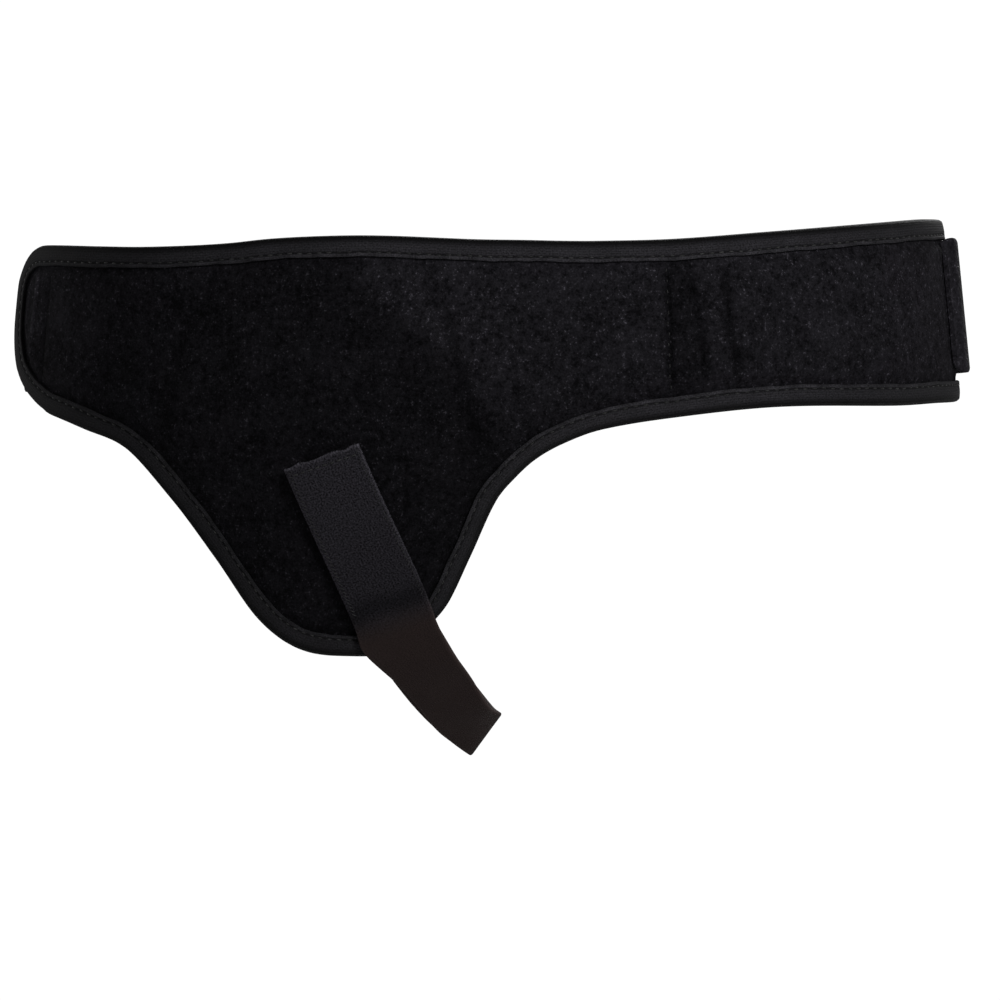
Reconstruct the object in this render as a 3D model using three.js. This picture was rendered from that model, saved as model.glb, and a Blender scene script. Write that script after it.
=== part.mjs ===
// A hernia belt in its worn form: a padded front panel with a groin lobe on the wearer's right, bound all
// round its edge, a back strap that closes the waist loop, and an elastic groin strap that runs from the
// lobe between the legs to the back strap. Hook tape fastens every strap end to the cloth that it lies on.
// Millimetres. +X is the wearer's left, the front faces -Y and +Z is up. The origin is the middle of the
// waist loop, level with the middle of the belt, where the belt sits round the hips.
import * as THREE from "three";

// Hip form that the belt is shaped round
const hipHalfWidth = 170;
const hipFrontDepth = 105;
const hipBackDepth = 118;
const hipSquareness = 2.3;
const hipFlare = 0.1;
const groinBendDrop = 22;
const thighDepth = 92;
const thighAcross = 75;
const thighRoundness = 90;
const thighBlend = 15;

// Front panel
const waistRise = 36;
const lobeDrop = 125;
const panelThickness = 4;
const rimThickness = 2.4;
const rimMargin = 1.5;
const rimBevel = 2.5;
const edgeCup = 2.4;
const edgeCupOverHips = 0.8;
const edgeCupWidth = 12;
const leftHipStart = 0.7;
const rightEndBeforeSide = 27;
const rightEndTopRadius = 17;
const rightEndBottomRadius = 32;
const rightEndStandOff = 1.4;
const rightEndStandOffLength = 45;
const leftEndPastSide = 40;
const leftEndRadius = 12;

// Binding tape
const bindingThickness = 0.9;
const bindingLeg = 6.5;

// Groin pad
const padThickness = 8;
const padRimThickness = 2;
const padBulge = 2;
const padShoulder = 20;

// Straps and hook tape
const backStrapWidth = 50;
const backStrapThickness = 2.5;
const backStrapRightMiddle = -5;
const backStrapLeftMiddle = 3.2;
const backStrapLeftBeforeSide = 27;
const backStrapEndRadius = 4;
const backStrapRamp = 40;
const rightLap = 68;
const rightLapStep = 38;
const groinStrapWidth = 28;
const groinStrapThickness = 1.8;
const hookTapeThickness = 1.5;
const hookTapeMargin = 4;
const rightHookLength = 36;
const frontHookLength = 50;
const rearHookLength = 40;

// Clearance between pieces that touch on the real belt
const seat = 0.3;
const bindingSeat = 0.45;
const padSeat = 0.8;
const lapSeat = 0.55;

// Outline of the bound front panel, seen from outside. around is a share of the way from the front middle
// to the side of the hip, top is a share of waistRise above the origin and bottom a share of lobeDrop below.
const panelOutline = [
  { around: -1.0, top: 0.7, bottom: 0.262 },
  { around: -0.84, top: 0.7, bottom: 0.271 },
  { around: -0.765, top: 0.698, bottom: 0.289 },
  { around: -0.663, top: 0.683, bottom: 0.341 },
  { around: -0.579, top: 0.675, bottom: 0.4 },
  { around: -0.506, top: 0.688, bottom: 0.545 },
  { around: -0.437, top: 0.715, bottom: 0.72 },
  { around: -0.369, top: 0.756, bottom: 0.892 },
  { around: -0.303, top: 0.778, bottom: 0.979 },
  { around: -0.225, top: 0.789, bottom: 1.0 },
  { around: -0.158, top: 0.783, bottom: 0.986 },
  { around: -0.08, top: 0.763, bottom: 0.874 },
  { around: -0.035, top: 0.751, bottom: 0.712 },
  { around: 0.005, top: 0.745, bottom: 0.553 },
  { around: 0.036, top: 0.743, bottom: 0.483 },
  { around: 0.07, top: 0.74, bottom: 0.426 },
  { around: 0.113, top: 0.734, bottom: 0.381 },
  { around: 0.175, top: 0.733, bottom: 0.339 },
  { around: 0.303, top: 0.755, bottom: 0.301 },
  { around: 0.471, top: 0.834, bottom: 0.272 },
  { around: 0.712, top: 0.946, bottom: 0.269 },
  { around: 0.847, top: 0.988, bottom: 0.262 },
  { around: 1.3, top: 1.0, bottom: 0.262 },
];

// Outline of the groin pad, in the same shares as the panel's
const padOutline = [
  { around: -0.478, top: 0.3, bottom: 0.42 },
  { around: -0.447, top: 0.4, bottom: 0.5 },
  { around: -0.38, top: 0.42, bottom: 0.664 },
  { around: -0.307, top: 0.42, bottom: 0.84 },
  { around: -0.235, top: 0.41, bottom: 0.896 },
  { around: -0.153, top: 0.38, bottom: 0.824 },
  { around: -0.1, top: 0.32, bottom: 0.656 },
  { around: -0.068, top: -0.35, bottom: 0.54 },
  { around: -0.04, top: -1.0, bottom: 0.45 },
];

// Upright dents in the panel's outer face: the sewn seam and two creases beside it. around and lean are
// shares of the way to the side, lean from the top of the dent to its foot, and depth and halfWidth are
// shares of the panel's thickness.
const panelDents = [
  { around: 0.288, lean: 0, depth: 0.2, halfWidth: 0.9 },
  { around: 0.333, lean: 0.035, depth: 0.15, halfWidth: 1.1 },
  { around: 0.385, lean: 0.025, depth: 0.15, halfWidth: 1.1 },
];

// Route of the groin strap's middle line after it leaves the lobe. across is a share of the hip's half
// width, back a share of its front or back depth, down a share of lobeDrop, facing the direction that the
// strap's outer face looks in and spread the share of its width that is left where it is drawn together.
const groinRoute = [
  { across: -0.141, back: -0.771, down: 1.034, facing: [0.36, -0.47, -0.81], spread: 0.86 },
  { across: -0.098, back: -0.629, down: 1.112, facing: [0.35, -0.59, -0.73], spread: 0.8 },
  { across: -0.057, back: -0.448, down: 1.198, facing: [0.36, -0.43, -0.83], spread: 0.76 },
  { across: -0.012, back: -0.21, down: 1.251, facing: [0.79, -0.17, -0.59], spread: 0.7 },
  { across: -0.03, back: 0.017, down: 1.244, facing: [0.72, 0.13, -0.68], spread: 0.72 },
  { across: -0.06, back: 0.229, down: 1.216, facing: [0.57, 0.27, -0.77], spread: 0.78 },
  { across: -0.102, back: 0.441, down: 1.164, facing: [0.4, 0.4, -0.81], spread: 0.86 },
  { across: -0.157, back: 0.636, down: 1.072, facing: [0.23, 0.6, -0.76], spread: 0.94 },
  { across: -0.224, back: 0.797, down: 0.932, facing: [0.11, 0.82, -0.55], spread: 1 },
  { across: -0.284, back: 0.903, down: 0.76, facing: [0.05, 0.93, -0.35], spread: 1 },
  { across: -0.329, back: 0.962, down: 0.576, facing: [0, 0.98, -0.2], spread: 1 },
  { across: -0.365, back: 0.996, down: 0.4, facing: [-0.1, 0.99, -0.05], spread: 1 },
];

function clamp(value, low, high) {
  return Math.min(high, Math.max(low, value));
}

function ease(share) {
  const t = clamp(share, 0, 1);
  return t * t * (3 - 2 * t);
}

function mix(from, to, share) {
  return from + (to - from) * share;
}

// Smooth curve through one column of a table, read at a place along its "around" column
function readTable(table, column, around) {
  const last = table.length - 2;
  let i = 0;
  while (i < last && table[i + 1].around < around) {
    i += 1;
  }
  const slopeAt = (k) => {
    const before = table[Math.max(k - 1, 0)];
    const after = table[Math.min(k + 1, table.length - 1)];
    return (after[column] - before[column]) / (after.around - before.around);
  };
  const span = table[i + 1].around - table[i].around;
  const t = clamp((around - table[i].around) / span, 0, 1);
  const rise = ease(t);
  const startPull = t * (1 - t) ** 2 * span * slopeAt(i);
  const endPull = t * t * (t - 1) * span * slopeAt(i + 1);
  return mix(table[i][column], table[i + 1][column], rise) + startPull + endPull;
}

// Half of the hip's plan outline, from the front middle round the side to the back middle, with the
// length walked so far
const planSteps = 720;
const plan = [];
for (let i = 0; i <= planSteps; i++) {
  const angle = (Math.PI * i) / planSteps;
  const depth = i < planSteps / 2 ? hipFrontDepth : hipBackDepth;
  const x = hipHalfWidth * Math.abs(Math.sin(angle)) ** (2 / hipSquareness);
  const y = -Math.sign(Math.cos(angle)) * depth * Math.abs(Math.cos(angle)) ** (2 / hipSquareness);
  const walked = i === 0 ? 0 : plan[i - 1].walked + Math.hypot(x - plan[i - 1].x, y - plan[i - 1].y);
  plan.push({ x, y, walked });
}
const sideRun = plan[planSteps / 2].walked;
const halfLoop = plan[planSteps].walked;

// Point of the plan outline at a run along it, counted from the front middle towards the wearer's left
function planPoint(run) {
  const wrapped = run - 2 * halfLoop * Math.round(run / (2 * halfLoop));
  const walked = Math.abs(wrapped);
  let low = 0;
  let high = planSteps;
  while (high - low > 1) {
    const middle = Math.floor((low + high) / 2);
    if (plan[middle].walked > walked) {
      high = middle;
    } else {
      low = middle;
    }
  }
  const share = (walked - plan[low].walked) / (plan[high].walked - plan[low].walked);
  const x = mix(plan[low].x, plan[high].x, share);
  return { x: Math.sign(wrapped) * x, y: mix(plan[low].y, plan[high].y, share) };
}

// Point of the hip form at a run and a rise: the plan outline, flared downwards, and below the groin bend
// in front blended into the two thighs
function hipPoint(run, rise) {
  const outline = planPoint(run);
  const x = outline.x * (1 - (hipFlare * Math.max(rise, -waistRise)) / hipHalfWidth);
  const fromThighMiddle = Math.hypot(x, thighBlend) - thighAcross;
  const thighY = -thighDepth + fromThighMiddle ** 2 / (2 * thighRoundness);
  const inFront = ease(-outline.y / (hipFrontDepth / 2));
  const below = ease((-rise - groinBendDrop) / (lobeDrop - groinBendDrop));
  return new THREE.Vector3(x, mix(outline.y, thighY, below * inFront), rise);
}

// Point of a layer that lies a given height above the hip form
const normalStep = 0.5;
function layerPoint(run, rise, height) {
  const alongRun = hipPoint(run + normalStep, rise).sub(hipPoint(run - normalStep, rise));
  const alongRise = hipPoint(run, rise + normalStep).sub(hipPoint(run, rise - normalStep));
  const outward = alongRun.cross(alongRise).normalize();
  return hipPoint(run, rise).addScaledVector(outward, height);
}

// Closed shell between an outer and an inner grid of points. A grid is a list of columns, columns follow
// each other towards the wearer's left as seen in front, and each column runs upwards.
function shellGeometry(outer, inner) {
  const columns = outer.length;
  const rows = outer[0].length;
  const positions = [];
  for (const grid of [outer, inner]) {
    for (const point of grid.flat()) {
      positions.push(point.x, point.y, point.z);
    }
  }
  const out = (i, j) => i * rows + j;
  const back = (i, j) => (columns + i) * rows + j;
  const index = [];
  const quad = (a, b, c, d) => index.push(a, b, c, a, c, d);
  const right = columns - 1;
  const top = rows - 1;
  for (let i = 0; i < right; i++) {
    for (let j = 0; j < top; j++) {
      quad(out(i, j), out(i + 1, j), out(i + 1, j + 1), out(i, j + 1));
      quad(back(i, j + 1), back(i + 1, j + 1), back(i + 1, j), back(i, j));
    }
    quad(back(i, 0), back(i + 1, 0), out(i + 1, 0), out(i, 0));
    quad(out(i, top), out(i + 1, top), back(i + 1, top), back(i, top));
  }
  for (let j = 0; j < top; j++) {
    quad(back(0, j), out(0, j), out(0, j + 1), back(0, j + 1));
    quad(out(right, j), back(right, j), back(right, j + 1), out(right, j + 1));
  }
  return meshGeometry(positions, index);
}

// Closed ring of equal closed sections, each joined to the next and the last to the first
function ringGeometry(sections) {
  const size = sections[0].length;
  const positions = sections.flat().flatMap((point) => [point.x, point.y, point.z]);
  const index = [];
  sections.forEach((_, i) => {
    const here = i * size;
    const next = ((i + 1) % sections.length) * size;
    for (let j = 0; j < size; j++) {
      const k = (j + 1) % size;
      index.push(here + j, next + k, next + j, here + j, here + k, next + k);
    }
  });
  return meshGeometry(positions, index);
}

function meshGeometry(positions, index) {
  const geometry = new THREE.BufferGeometry();
  geometry.setAttribute("position", new THREE.Float32BufferAttribute(positions, 3));
  geometry.setIndex(index);
  geometry.computeVertexNormals();
  return geometry;
}

// How far a rounded end of a band has drawn in from its edge, at a distance from the tip
function roundedEnd(fromTip, radius) {
  const left = clamp(radius - fromTip, 0, radius);
  return radius - Math.sqrt(radius ** 2 - left ** 2);
}

// Even places from one to another, both included
function evenPlaces(from, to, step) {
  const count = Math.max(1, Math.round((to - from) / step));
  const places = [];
  for (let k = 0; k <= count; k++) {
    places.push(mix(from, to, k / count));
  }
  return places;
}

// Places round one corner, from a band's tip inwards, without the last one
const cornerSteps = 6;
function cornerPlaces(tip, inward, radius) {
  const places = [];
  for (let k = 0; k < cornerSteps; k++) {
    places.push(tip + inward * radius * (1 - Math.cos((Math.PI / 2) * (k / cornerSteps))));
  }
  return places;
}

// Front panel: its outline
const panelStart = -(sideRun - rightEndBeforeSide);
const panelEnd = sideRun + leftEndPastSide;

const bindingFold = bindingSeat + bindingThickness;

function upperEdgeLine(run) {
  return waistRise * readTable(panelOutline, "top", run / sideRun) - bindingFold;
}

function lowerEdgeLine(run) {
  return -lobeDrop * readTable(panelOutline, "bottom", run / sideRun) + bindingFold;
}

function panelTop(run) {
  return upperEdgeLine(run)
    - roundedEnd(run - panelStart, rightEndTopRadius)
    - roundedEnd(panelEnd - run, leftEndRadius);
}

function panelBottom(run) {
  return lowerEdgeLine(run)
    + roundedEnd(run - panelStart, rightEndBottomRadius)
    + roundedEnd(panelEnd - run, leftEndRadius);
}

// Length along an edge for each millimetre of run
function edgeStretch(edge, run) {
  const ahead = Math.min(run + normalStep, panelEnd);
  const behind = Math.max(run - normalStep, panelStart);
  return Math.hypot(1, (edge(ahead) - edge(behind)) / (ahead - behind));
}

// Distance inwards from the upper or the lower edge line, both carried on past the rounded corners. The
// nearest place is looked for among short straight pieces of the line.
const lineStep = 2;
const lineReach = 16;
function fromLine(edge, inward, run, rise) {
  let nearest = Infinity;
  for (let shift = -lineReach; shift < lineReach; shift += lineStep) {
    const startRise = edge(run + shift) - rise;
    const climb = edge(run + shift + lineStep) - rise - startRise;
    const along = clamp(-(shift * lineStep + startRise * climb) / (lineStep ** 2 + climb ** 2), 0, 1);
    nearest = Math.min(nearest, Math.hypot(shift + along * lineStep, startRise + along * climb));
  }
  return Math.sign(inward * (rise - edge(run))) * nearest;
}

function fromUpperLine(run, rise) {
  return fromLine(upperEdgeLine, -1, run, rise);
}

function fromLowerLine(run, rise) {
  return fromLine(lowerEdgeLine, 1, run, rise);
}

// Distance inwards from a corner's rounded outline
function fromCorner(fromEnd, fromLine, radius) {
  if (fromEnd < radius && fromLine < radius) {
    return radius - Math.hypot(radius - fromEnd, radius - fromLine);
  }
  return Math.min(fromEnd, fromLine);
}

function fromEdge(run, rise) {
  const upper = fromUpperLine(run, rise);
  const lower = fromLowerLine(run, rise);
  return Math.min(
    fromCorner(run - panelStart, upper, rightEndTopRadius),
    fromCorner(run - panelStart, lower, rightEndBottomRadius),
    fromCorner(panelEnd - run, upper, leftEndRadius),
    fromCorner(panelEnd - run, lower, leftEndRadius));
}

// Groin pad: its outline, and how fully it lifts the cloth at a place
const padStart = padOutline[0].around * sideRun;
const padEnd = padOutline[padOutline.length - 1].around * sideRun;

function padTop(run) {
  return waistRise * readTable(padOutline, "top", run / sideRun);
}

function padBottom(run) {
  return -lobeDrop * readTable(padOutline, "bottom", run / sideRun);
}

function padLift(run, rise) {
  const endLift = ease((run - padStart) / padShoulder) * ease((padEnd - run) / padShoulder);
  const topLift = ease((padTop(run) - rise) / padShoulder);
  const bottomLift = ease((rise - padBottom(run)) / padShoulder);
  return endLift * topLift * bottomLift;
}

// Layers at the two fastenings, counted outwards from the hip form
const overBackStrap = backStrapThickness + seat + hookTapeThickness + seat;
const overPanelEnd = panelThickness + seat + hookTapeThickness + seat;
const backStrapStart = panelStart + rightLap;

// Height of the panel's middle surface above the hip form
function panelMiddle(run, rise) {
  const overStrap = ease((backStrapStart + rightLapStep - run) / rightLapStep);
  const tip = clamp((panelStart + rightEndStandOffLength - run) / rightEndStandOffLength, 0, 1);
  const fromLongEdge = Math.min(fromUpperLine(run, rise), fromLowerLine(run, rise));
  const overLeftHip = ease((run / sideRun - leftHipStart) / (1 - leftHipStart));
  const fullCup = mix(edgeCup, edgeCupOverHips, Math.max(overStrap, overLeftHip));
  const cup = fullCup * Math.max(0, 1 - fromLongEdge / edgeCupWidth);
  const lift = padBulge * padLift(run, rise);
  return panelThickness / 2 + overStrap * overBackStrap + rightEndStandOff * tip ** 2 - cup + lift;
}

// Half of the panel's thickness: thin under the binding, full inside it
const rimWidth = bindingLeg + rimMargin;
function panelHalfThickness(run, rise) {
  const inside = ease((fromEdge(run, rise) - rimWidth) / rimBevel);
  return mix(rimThickness, panelThickness, inside) / 2;
}

function panelDent(run, rise) {
  const up = (rise - panelBottom(run)) / (panelTop(run) - panelBottom(run));
  const field = ease((fromEdge(run, rise) - rimWidth) / edgeCupWidth);
  let depth = 0;
  for (const dent of panelDents) {
    const middle = sideRun * (dent.around + dent.lean * (1 - up));
    const away = Math.abs(run - middle) / (dent.halfWidth * panelThickness);
    depth += dent.depth * panelThickness * (1 - ease(away));
  }
  return depth * field;
}

function panelOuter(run, rise) {
  return panelMiddle(run, rise) + panelHalfThickness(run, rise);
}

function panelInner(run, rise) {
  return panelMiddle(run, rise) - panelHalfThickness(run, rise);
}

// Columns of the panel: close together round both ends, even along the lower edge between them, and one at
// each seam or crease
const edgeStep = 8.5;
function placesAlongEdge(edge, from, to) {
  const places = [from];
  let walked = 0;
  for (let run = from; run < to; run += normalStep) {
    walked += normalStep * edgeStretch(edge, run);
    if (walked >= edgeStep) {
      places.push(run);
      walked = 0;
    }
  }
  return places;
}

const dentPlaces = panelDents.map((dent) => sideRun * (dent.around + dent.lean / 2));
const panelRuns = [
  ...cornerPlaces(panelStart, 1, rightEndBottomRadius),
  ...placesAlongEdge(lowerEdgeLine, panelStart + rightEndBottomRadius, panelEnd - leftEndRadius),
  ...cornerPlaces(panelEnd, -1, leftEndRadius).reverse(),
]
  .filter((place) => dentPlaces.every((dent) => Math.abs(place - dent) > panelThickness / 2))
  .concat(dentPlaces)
  .sort((a, b) => a - b);

// Rise of the place on one column that lies a given distance inside the panel's outline
const distanceSteps = 6;
function riseInside(edge, inward, run, distance) {
  let rise = edge(run);
  for (let k = 0; k < distanceSteps; k++) {
    rise += inward * (distance - fromEdge(run, rise)) * edgeStretch(edge, run);
  }
  return rise;
}

// Rows of one column: at fixed distances from both edges, and even between them
const edgeRows = [0, rimWidth, rimWidth + rimBevel, edgeCupWidth];
const fieldRows = 8;
const rowCount = 2 * edgeRows.length + fieldRows;
function panelRises(run) {
  const top = panelTop(run);
  const bottom = panelBottom(run);
  const lower = edgeRows.map((distance, k) => {
    const most = mix(bottom, top, k / (rowCount - 1));
    return k === 0 ? bottom : Math.min(most, riseInside(panelBottom, 1, run, distance));
  });
  const upper = edgeRows.map((distance, k) => {
    const least = mix(top, bottom, k / (rowCount - 1));
    return k === 0 ? top : Math.max(least, riseInside(panelTop, -1, run, distance));
  });
  const field = [];
  for (let k = 1; k <= fieldRows; k++) {
    field.push(mix(lower[lower.length - 1], upper[upper.length - 1], k / (fieldRows + 1)));
  }
  return [...lower, ...field, ...upper.reverse()];
}

const panelGrid = panelRuns.map((run) => panelRises(run).map((rise) => ({ run, rise })));

function frontPanel() {
  const outer = panelGrid.map((column) => column.map(({ run, rise }) =>
    layerPoint(run, rise, panelOuter(run, rise) - panelDent(run, rise))));
  const inner = panelGrid.map((column) => column.map(({ run, rise }) =>
    layerPoint(run, rise, panelInner(run, rise))));
  return shellGeometry(outer, inner);
}

// The panel's edge as a loop of places: along the bottom, up the left-hip end, back along the top and
// down the right-hip end, without places that crowd each other
const cornerSpacing = 1;
const edgeSpacing = 4;
function panelEdgeLoop() {
  const lastColumn = panelGrid.length - 1;
  const lastRow = panelGrid[0].length - 1;
  const loop = [
    ...panelGrid.map((column) => column[0]),
    ...panelGrid[lastColumn].slice(1, lastRow),
    ...panelGrid.map((column) => column[lastRow]).reverse(),
    ...panelGrid[0].slice(1, lastRow).reverse(),
  ];
  const spread = [];
  for (const place of loop) {
    const before = spread[spread.length - 1];
    const inCorner = place.run - panelStart < rightEndBottomRadius || panelEnd - place.run < leftEndRadius;
    const least = inCorner ? cornerSpacing : edgeSpacing;
    if (!before || Math.hypot(place.run - before.run, place.rise - before.rise) > least) {
      spread.push(place);
    }
  }
  return spread;
}

// Binding tape: a folded strip that holds the rim between its two legs
function edgeBinding() {
  const loop = panelEdgeLoop();
  const gapHalf = rimThickness / 2 + bindingSeat;
  const outHalf = gapHalf + bindingThickness;
  const profile = [
    { inward: bindingLeg, height: outHalf },
    { inward: 0, height: outHalf },
    { inward: -bindingFold, height: gapHalf / 2 },
    { inward: -bindingFold, height: -gapHalf / 2 },
    { inward: 0, height: -outHalf },
    { inward: bindingLeg, height: -outHalf },
    { inward: bindingLeg, height: -gapHalf },
    { inward: -bindingSeat, height: -gapHalf },
    { inward: -bindingSeat, height: gapHalf },
    { inward: bindingLeg, height: gapHalf },
  ];
  const sections = loop.map((place, i) => {
    const before = loop[(i + loop.length - 1) % loop.length];
    const after = loop[(i + 1) % loop.length];
    const length = Math.hypot(after.run - before.run, after.rise - before.rise);
    const inwardRun = -(after.rise - before.rise) / length;
    const inwardRise = (after.run - before.run) / length;
    return profile.map(({ inward, height }) => {
      const run = place.run + inwardRun * inward;
      const rise = place.rise + inwardRise * inward;
      return layerPoint(run, rise, panelMiddle(run, rise) + height);
    });
  });
  return ringGeometry(sections);
}

// Groin pad: flat against the panel's inside, crowned towards the body
const padColumns = 13;
const padRows = 12;
function groinPad() {
  const outer = [];
  const inner = [];
  for (let i = 0; i < padColumns; i++) {
    const run = mix(padStart, padEnd, i / (padColumns - 1));
    const outerColumn = [];
    const innerColumn = [];
    for (let j = 0; j < padRows; j++) {
      const rise = mix(padBottom(run), padTop(run), j / (padRows - 1));
      const seatHeight = panelInner(run, rise) - padSeat;
      const thickness = mix(padRimThickness, padThickness, padLift(run, rise));
      outerColumn.push(layerPoint(run, rise, seatHeight));
      innerColumn.push(layerPoint(run, rise, seatHeight - thickness));
    }
    outer.push(outerColumn);
    inner.push(innerColumn);
  }
  return shellGeometry(outer, inner);
}

// A flat band that follows the hip form: places along it, and for each place its lower and upper edge
// and the height of its inner face
function bandGeometry(runs, edges, height, thickness, rows) {
  const grid = (extra) => runs.map((run) => {
    const { low, high } = edges(run);
    const column = [];
    for (let j = 0; j < rows; j++) {
      column.push(layerPoint(run, mix(low, high, j / (rows - 1)), height(run) + extra));
    }
    return column;
  });
  return shellGeometry(grid(thickness), grid(0));
}

// Back strap: from under the panel's right-hip end round the back to over its left-hip end. Its runs are
// counted on past the back middle, so they fall from the left-hip end to the right-hip end.
const backStrapEnd = sideRun - backStrapLeftBeforeSide;
const backStrapFar = backStrapStart + 2 * halfLoop;
const strapStep = 9;
const strapRows = 3;

function backStrapMiddle(run) {
  const share = (run - backStrapEnd) / (backStrapFar - backStrapEnd);
  return mix(backStrapLeftMiddle, backStrapRightMiddle, clamp(share, 0, 1));
}

function backStrapEdges(run) {
  const draw = roundedEnd(run - backStrapEnd, backStrapEndRadius)
    + roundedEnd(backStrapFar - run, backStrapEndRadius);
  const half = backStrapWidth / 2 - draw;
  return { low: backStrapMiddle(run) - half, high: backStrapMiddle(run) + half };
}

const bindingTip = panelEnd + bindingFold;
function backStrapHeight(run) {
  return overPanelEnd * ease((bindingTip + 2 * seat + backStrapRamp - run) / backStrapRamp);
}

function backStrap() {
  const runs = [
    ...cornerPlaces(backStrapEnd, 1, backStrapEndRadius),
    ...evenPlaces(backStrapEnd + backStrapEndRadius, backStrapFar - backStrapEndRadius, strapStep),
    ...cornerPlaces(backStrapFar, -1, backStrapEndRadius).reverse(),
  ];
  return bandGeometry(runs, backStrapEdges, backStrapHeight, backStrapThickness, strapRows);
}

// Hook tape at the two hips: set in from the strap's edges and from the panel's binding
const hookRows = 3;
function hipHookEdges(run) {
  const half = backStrapWidth / 2 - hookTapeMargin;
  const middle = backStrapMiddle(run < 0 ? run + 2 * halfLoop : run);
  return {
    low: Math.max(middle - half, panelBottom(run) + rimWidth),
    high: Math.min(middle + half, panelTop(run) - rimWidth),
  };
}

function hipHookPatch(start, end, height) {
  const runs = evenPlaces(start, end, strapStep);
  return bandGeometry(runs, hipHookEdges, () => height, hookTapeThickness, hookRows);
}

function rightHipPatch() {
  const start = backStrapStart - hookTapeMargin;
  return hipHookPatch(start - rightHookLength, start, backStrapThickness + seat);
}

function leftHipPatch() {
  const start = backStrapEnd + hookTapeMargin;
  const end = panelEnd - leftEndRadius;
  return hipHookPatch(start, end, panelThickness + seat);
}

// Groin strap: its lap on the lobe and its lap on the back strap, as places on the hip form, and the free
// route between them. Each station holds the strap's lower edge, middle and upper edge.
const frontLap = {
  from: { run: -0.262 * sideRun, rise: -0.41 * lobeDrop },
  to: { run: -0.146 * sideRun, rise: -0.952 * lobeDrop },
  under: panelOuter,
};
const rearLap = {
  from: { run: -0.862 * halfLoop, rise: -0.3 * lobeDrop },
  to: { run: -0.83 * halfLoop, rise: 0.12 * lobeDrop },
  under: () => backStrapThickness,
};
const lapStep = 9;
const acrossShares = [-0.5, -0.25, 0, 0.25, 0.5];

function lapLength(lap) {
  return Math.hypot(lap.to.run - lap.from.run, lap.to.rise - lap.from.rise);
}

// Stations of a strip that lies on a lap, at a height above what is under it
function lapStations(lap, start, end, width, height) {
  const alongRun = (lap.to.run - lap.from.run) / lapLength(lap);
  const alongRise = (lap.to.rise - lap.from.rise) / lapLength(lap);
  return evenPlaces(start, end, lapStep).map((walked) => acrossShares.map((share) => {
    const run = lap.from.run + alongRun * walked - alongRise * share * width;
    const rise = lap.from.rise + alongRise * walked + alongRun * share * width;
    return layerPoint(run, rise, lap.under(run, rise) + height);
  }));
}

function routeStations() {
  const middles = groinRoute.map(({ across, back, down }) => {
    const depth = back < 0 ? hipFrontDepth : hipBackDepth;
    return new THREE.Vector3(hipHalfWidth * across, depth * back, -lobeDrop * down);
  });
  return groinRoute.map(({ facing, spread }, i) => {
    const before = middles[Math.max(i - 1, 0)];
    const after = middles[Math.min(i + 1, middles.length - 1)];
    const along = after.clone().sub(before);
    const across = new THREE.Vector3(...facing).cross(along).setLength(spread * groinStrapWidth);
    return acrossShares.map((share) => middles[i].clone().addScaledVector(across, share));
  });
}

// A strip through its stations, with half of its thickness on each side of them
function stripGeometry(stations, thickness, steps) {
  const lines = acrossShares.map((_, j) =>
    new THREE.CatmullRomCurve3(stations.map((station) => station[j]), false, "catmullrom", 0.5));
  const middle = Math.floor(acrossShares.length / 2);
  const outer = [];
  const inner = [];
  for (let i = 0; i <= steps; i++) {
    const points = lines.map((line) => line.getPoint(i / steps));
    const along = lines[middle].getTangent(i / steps);
    const lifts = points.map((_, j) => stripFacing(points, along, j).multiplyScalar(thickness / 2));
    outer.push(points.map((point, j) => point.clone().add(lifts[j])));
    inner.push(points.map((point, j) => point.clone().sub(lifts[j])));
  }
  return shellGeometry(outer, inner);
}

function stripFacing(points, along, j) {
  const before = points[Math.max(j - 1, 0)];
  const after = points[Math.min(j + 1, points.length - 1)];
  return along.clone().cross(after.clone().sub(before)).normalize();
}

const overHookTape = lapSeat + hookTapeThickness + lapSeat + groinStrapThickness / 2;
const onHookTape = lapSeat + hookTapeThickness / 2;
const groinSteps = 60;

function groinStrap() {
  const stations = [
    ...lapStations(frontLap, 0, lapLength(frontLap), groinStrapWidth, overHookTape),
    ...routeStations(),
    ...lapStations(rearLap, 0, lapLength(rearLap), groinStrapWidth, overHookTape),
  ];
  return stripGeometry(stations, groinStrapThickness, groinSteps);
}

const hookTapeWidth = groinStrapWidth - hookTapeMargin;
const hookSteps = 8;
function frontHook() {
  const end = hookTapeMargin / 2 + frontHookLength;
  const stations = lapStations(frontLap, hookTapeMargin / 2, end, hookTapeWidth, onHookTape);
  return stripGeometry(stations, hookTapeThickness, hookSteps);
}

function rearHook() {
  const end = lapLength(rearLap) - hookTapeMargin / 2;
  const stations = lapStations(rearLap, end - rearHookLength, end, hookTapeWidth, onHookTape);
  return stripGeometry(stations, hookTapeThickness, hookSteps);
}

const pieces = [
  { name: "front_panel", geometry: frontPanel(), colour: 0x17161a, roughness: 0.95 },
  { name: "edge_binding", geometry: edgeBinding(), colour: 0x2a292c, roughness: 0.8 },
  { name: "groin_pad", geometry: groinPad(), colour: 0x1b1a1d, roughness: 0.95 },
  { name: "back_strap", geometry: backStrap(), colour: 0x1c1a1e, roughness: 0.95 },
  { name: "hip_hook_patch_right", geometry: rightHipPatch(), colour: 0x141416, roughness: 0.7 },
  { name: "hip_hook_patch_left", geometry: leftHipPatch(), colour: 0x141416, roughness: 0.7 },
  { name: "groin_strap", geometry: groinStrap(), colour: 0x1e1c1d, roughness: 0.75 },
  { name: "groin_hook_front", geometry: frontHook(), colour: 0x141416, roughness: 0.7 },
  { name: "groin_hook_back", geometry: rearHook(), colour: 0x141416, roughness: 0.7 },
];

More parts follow.
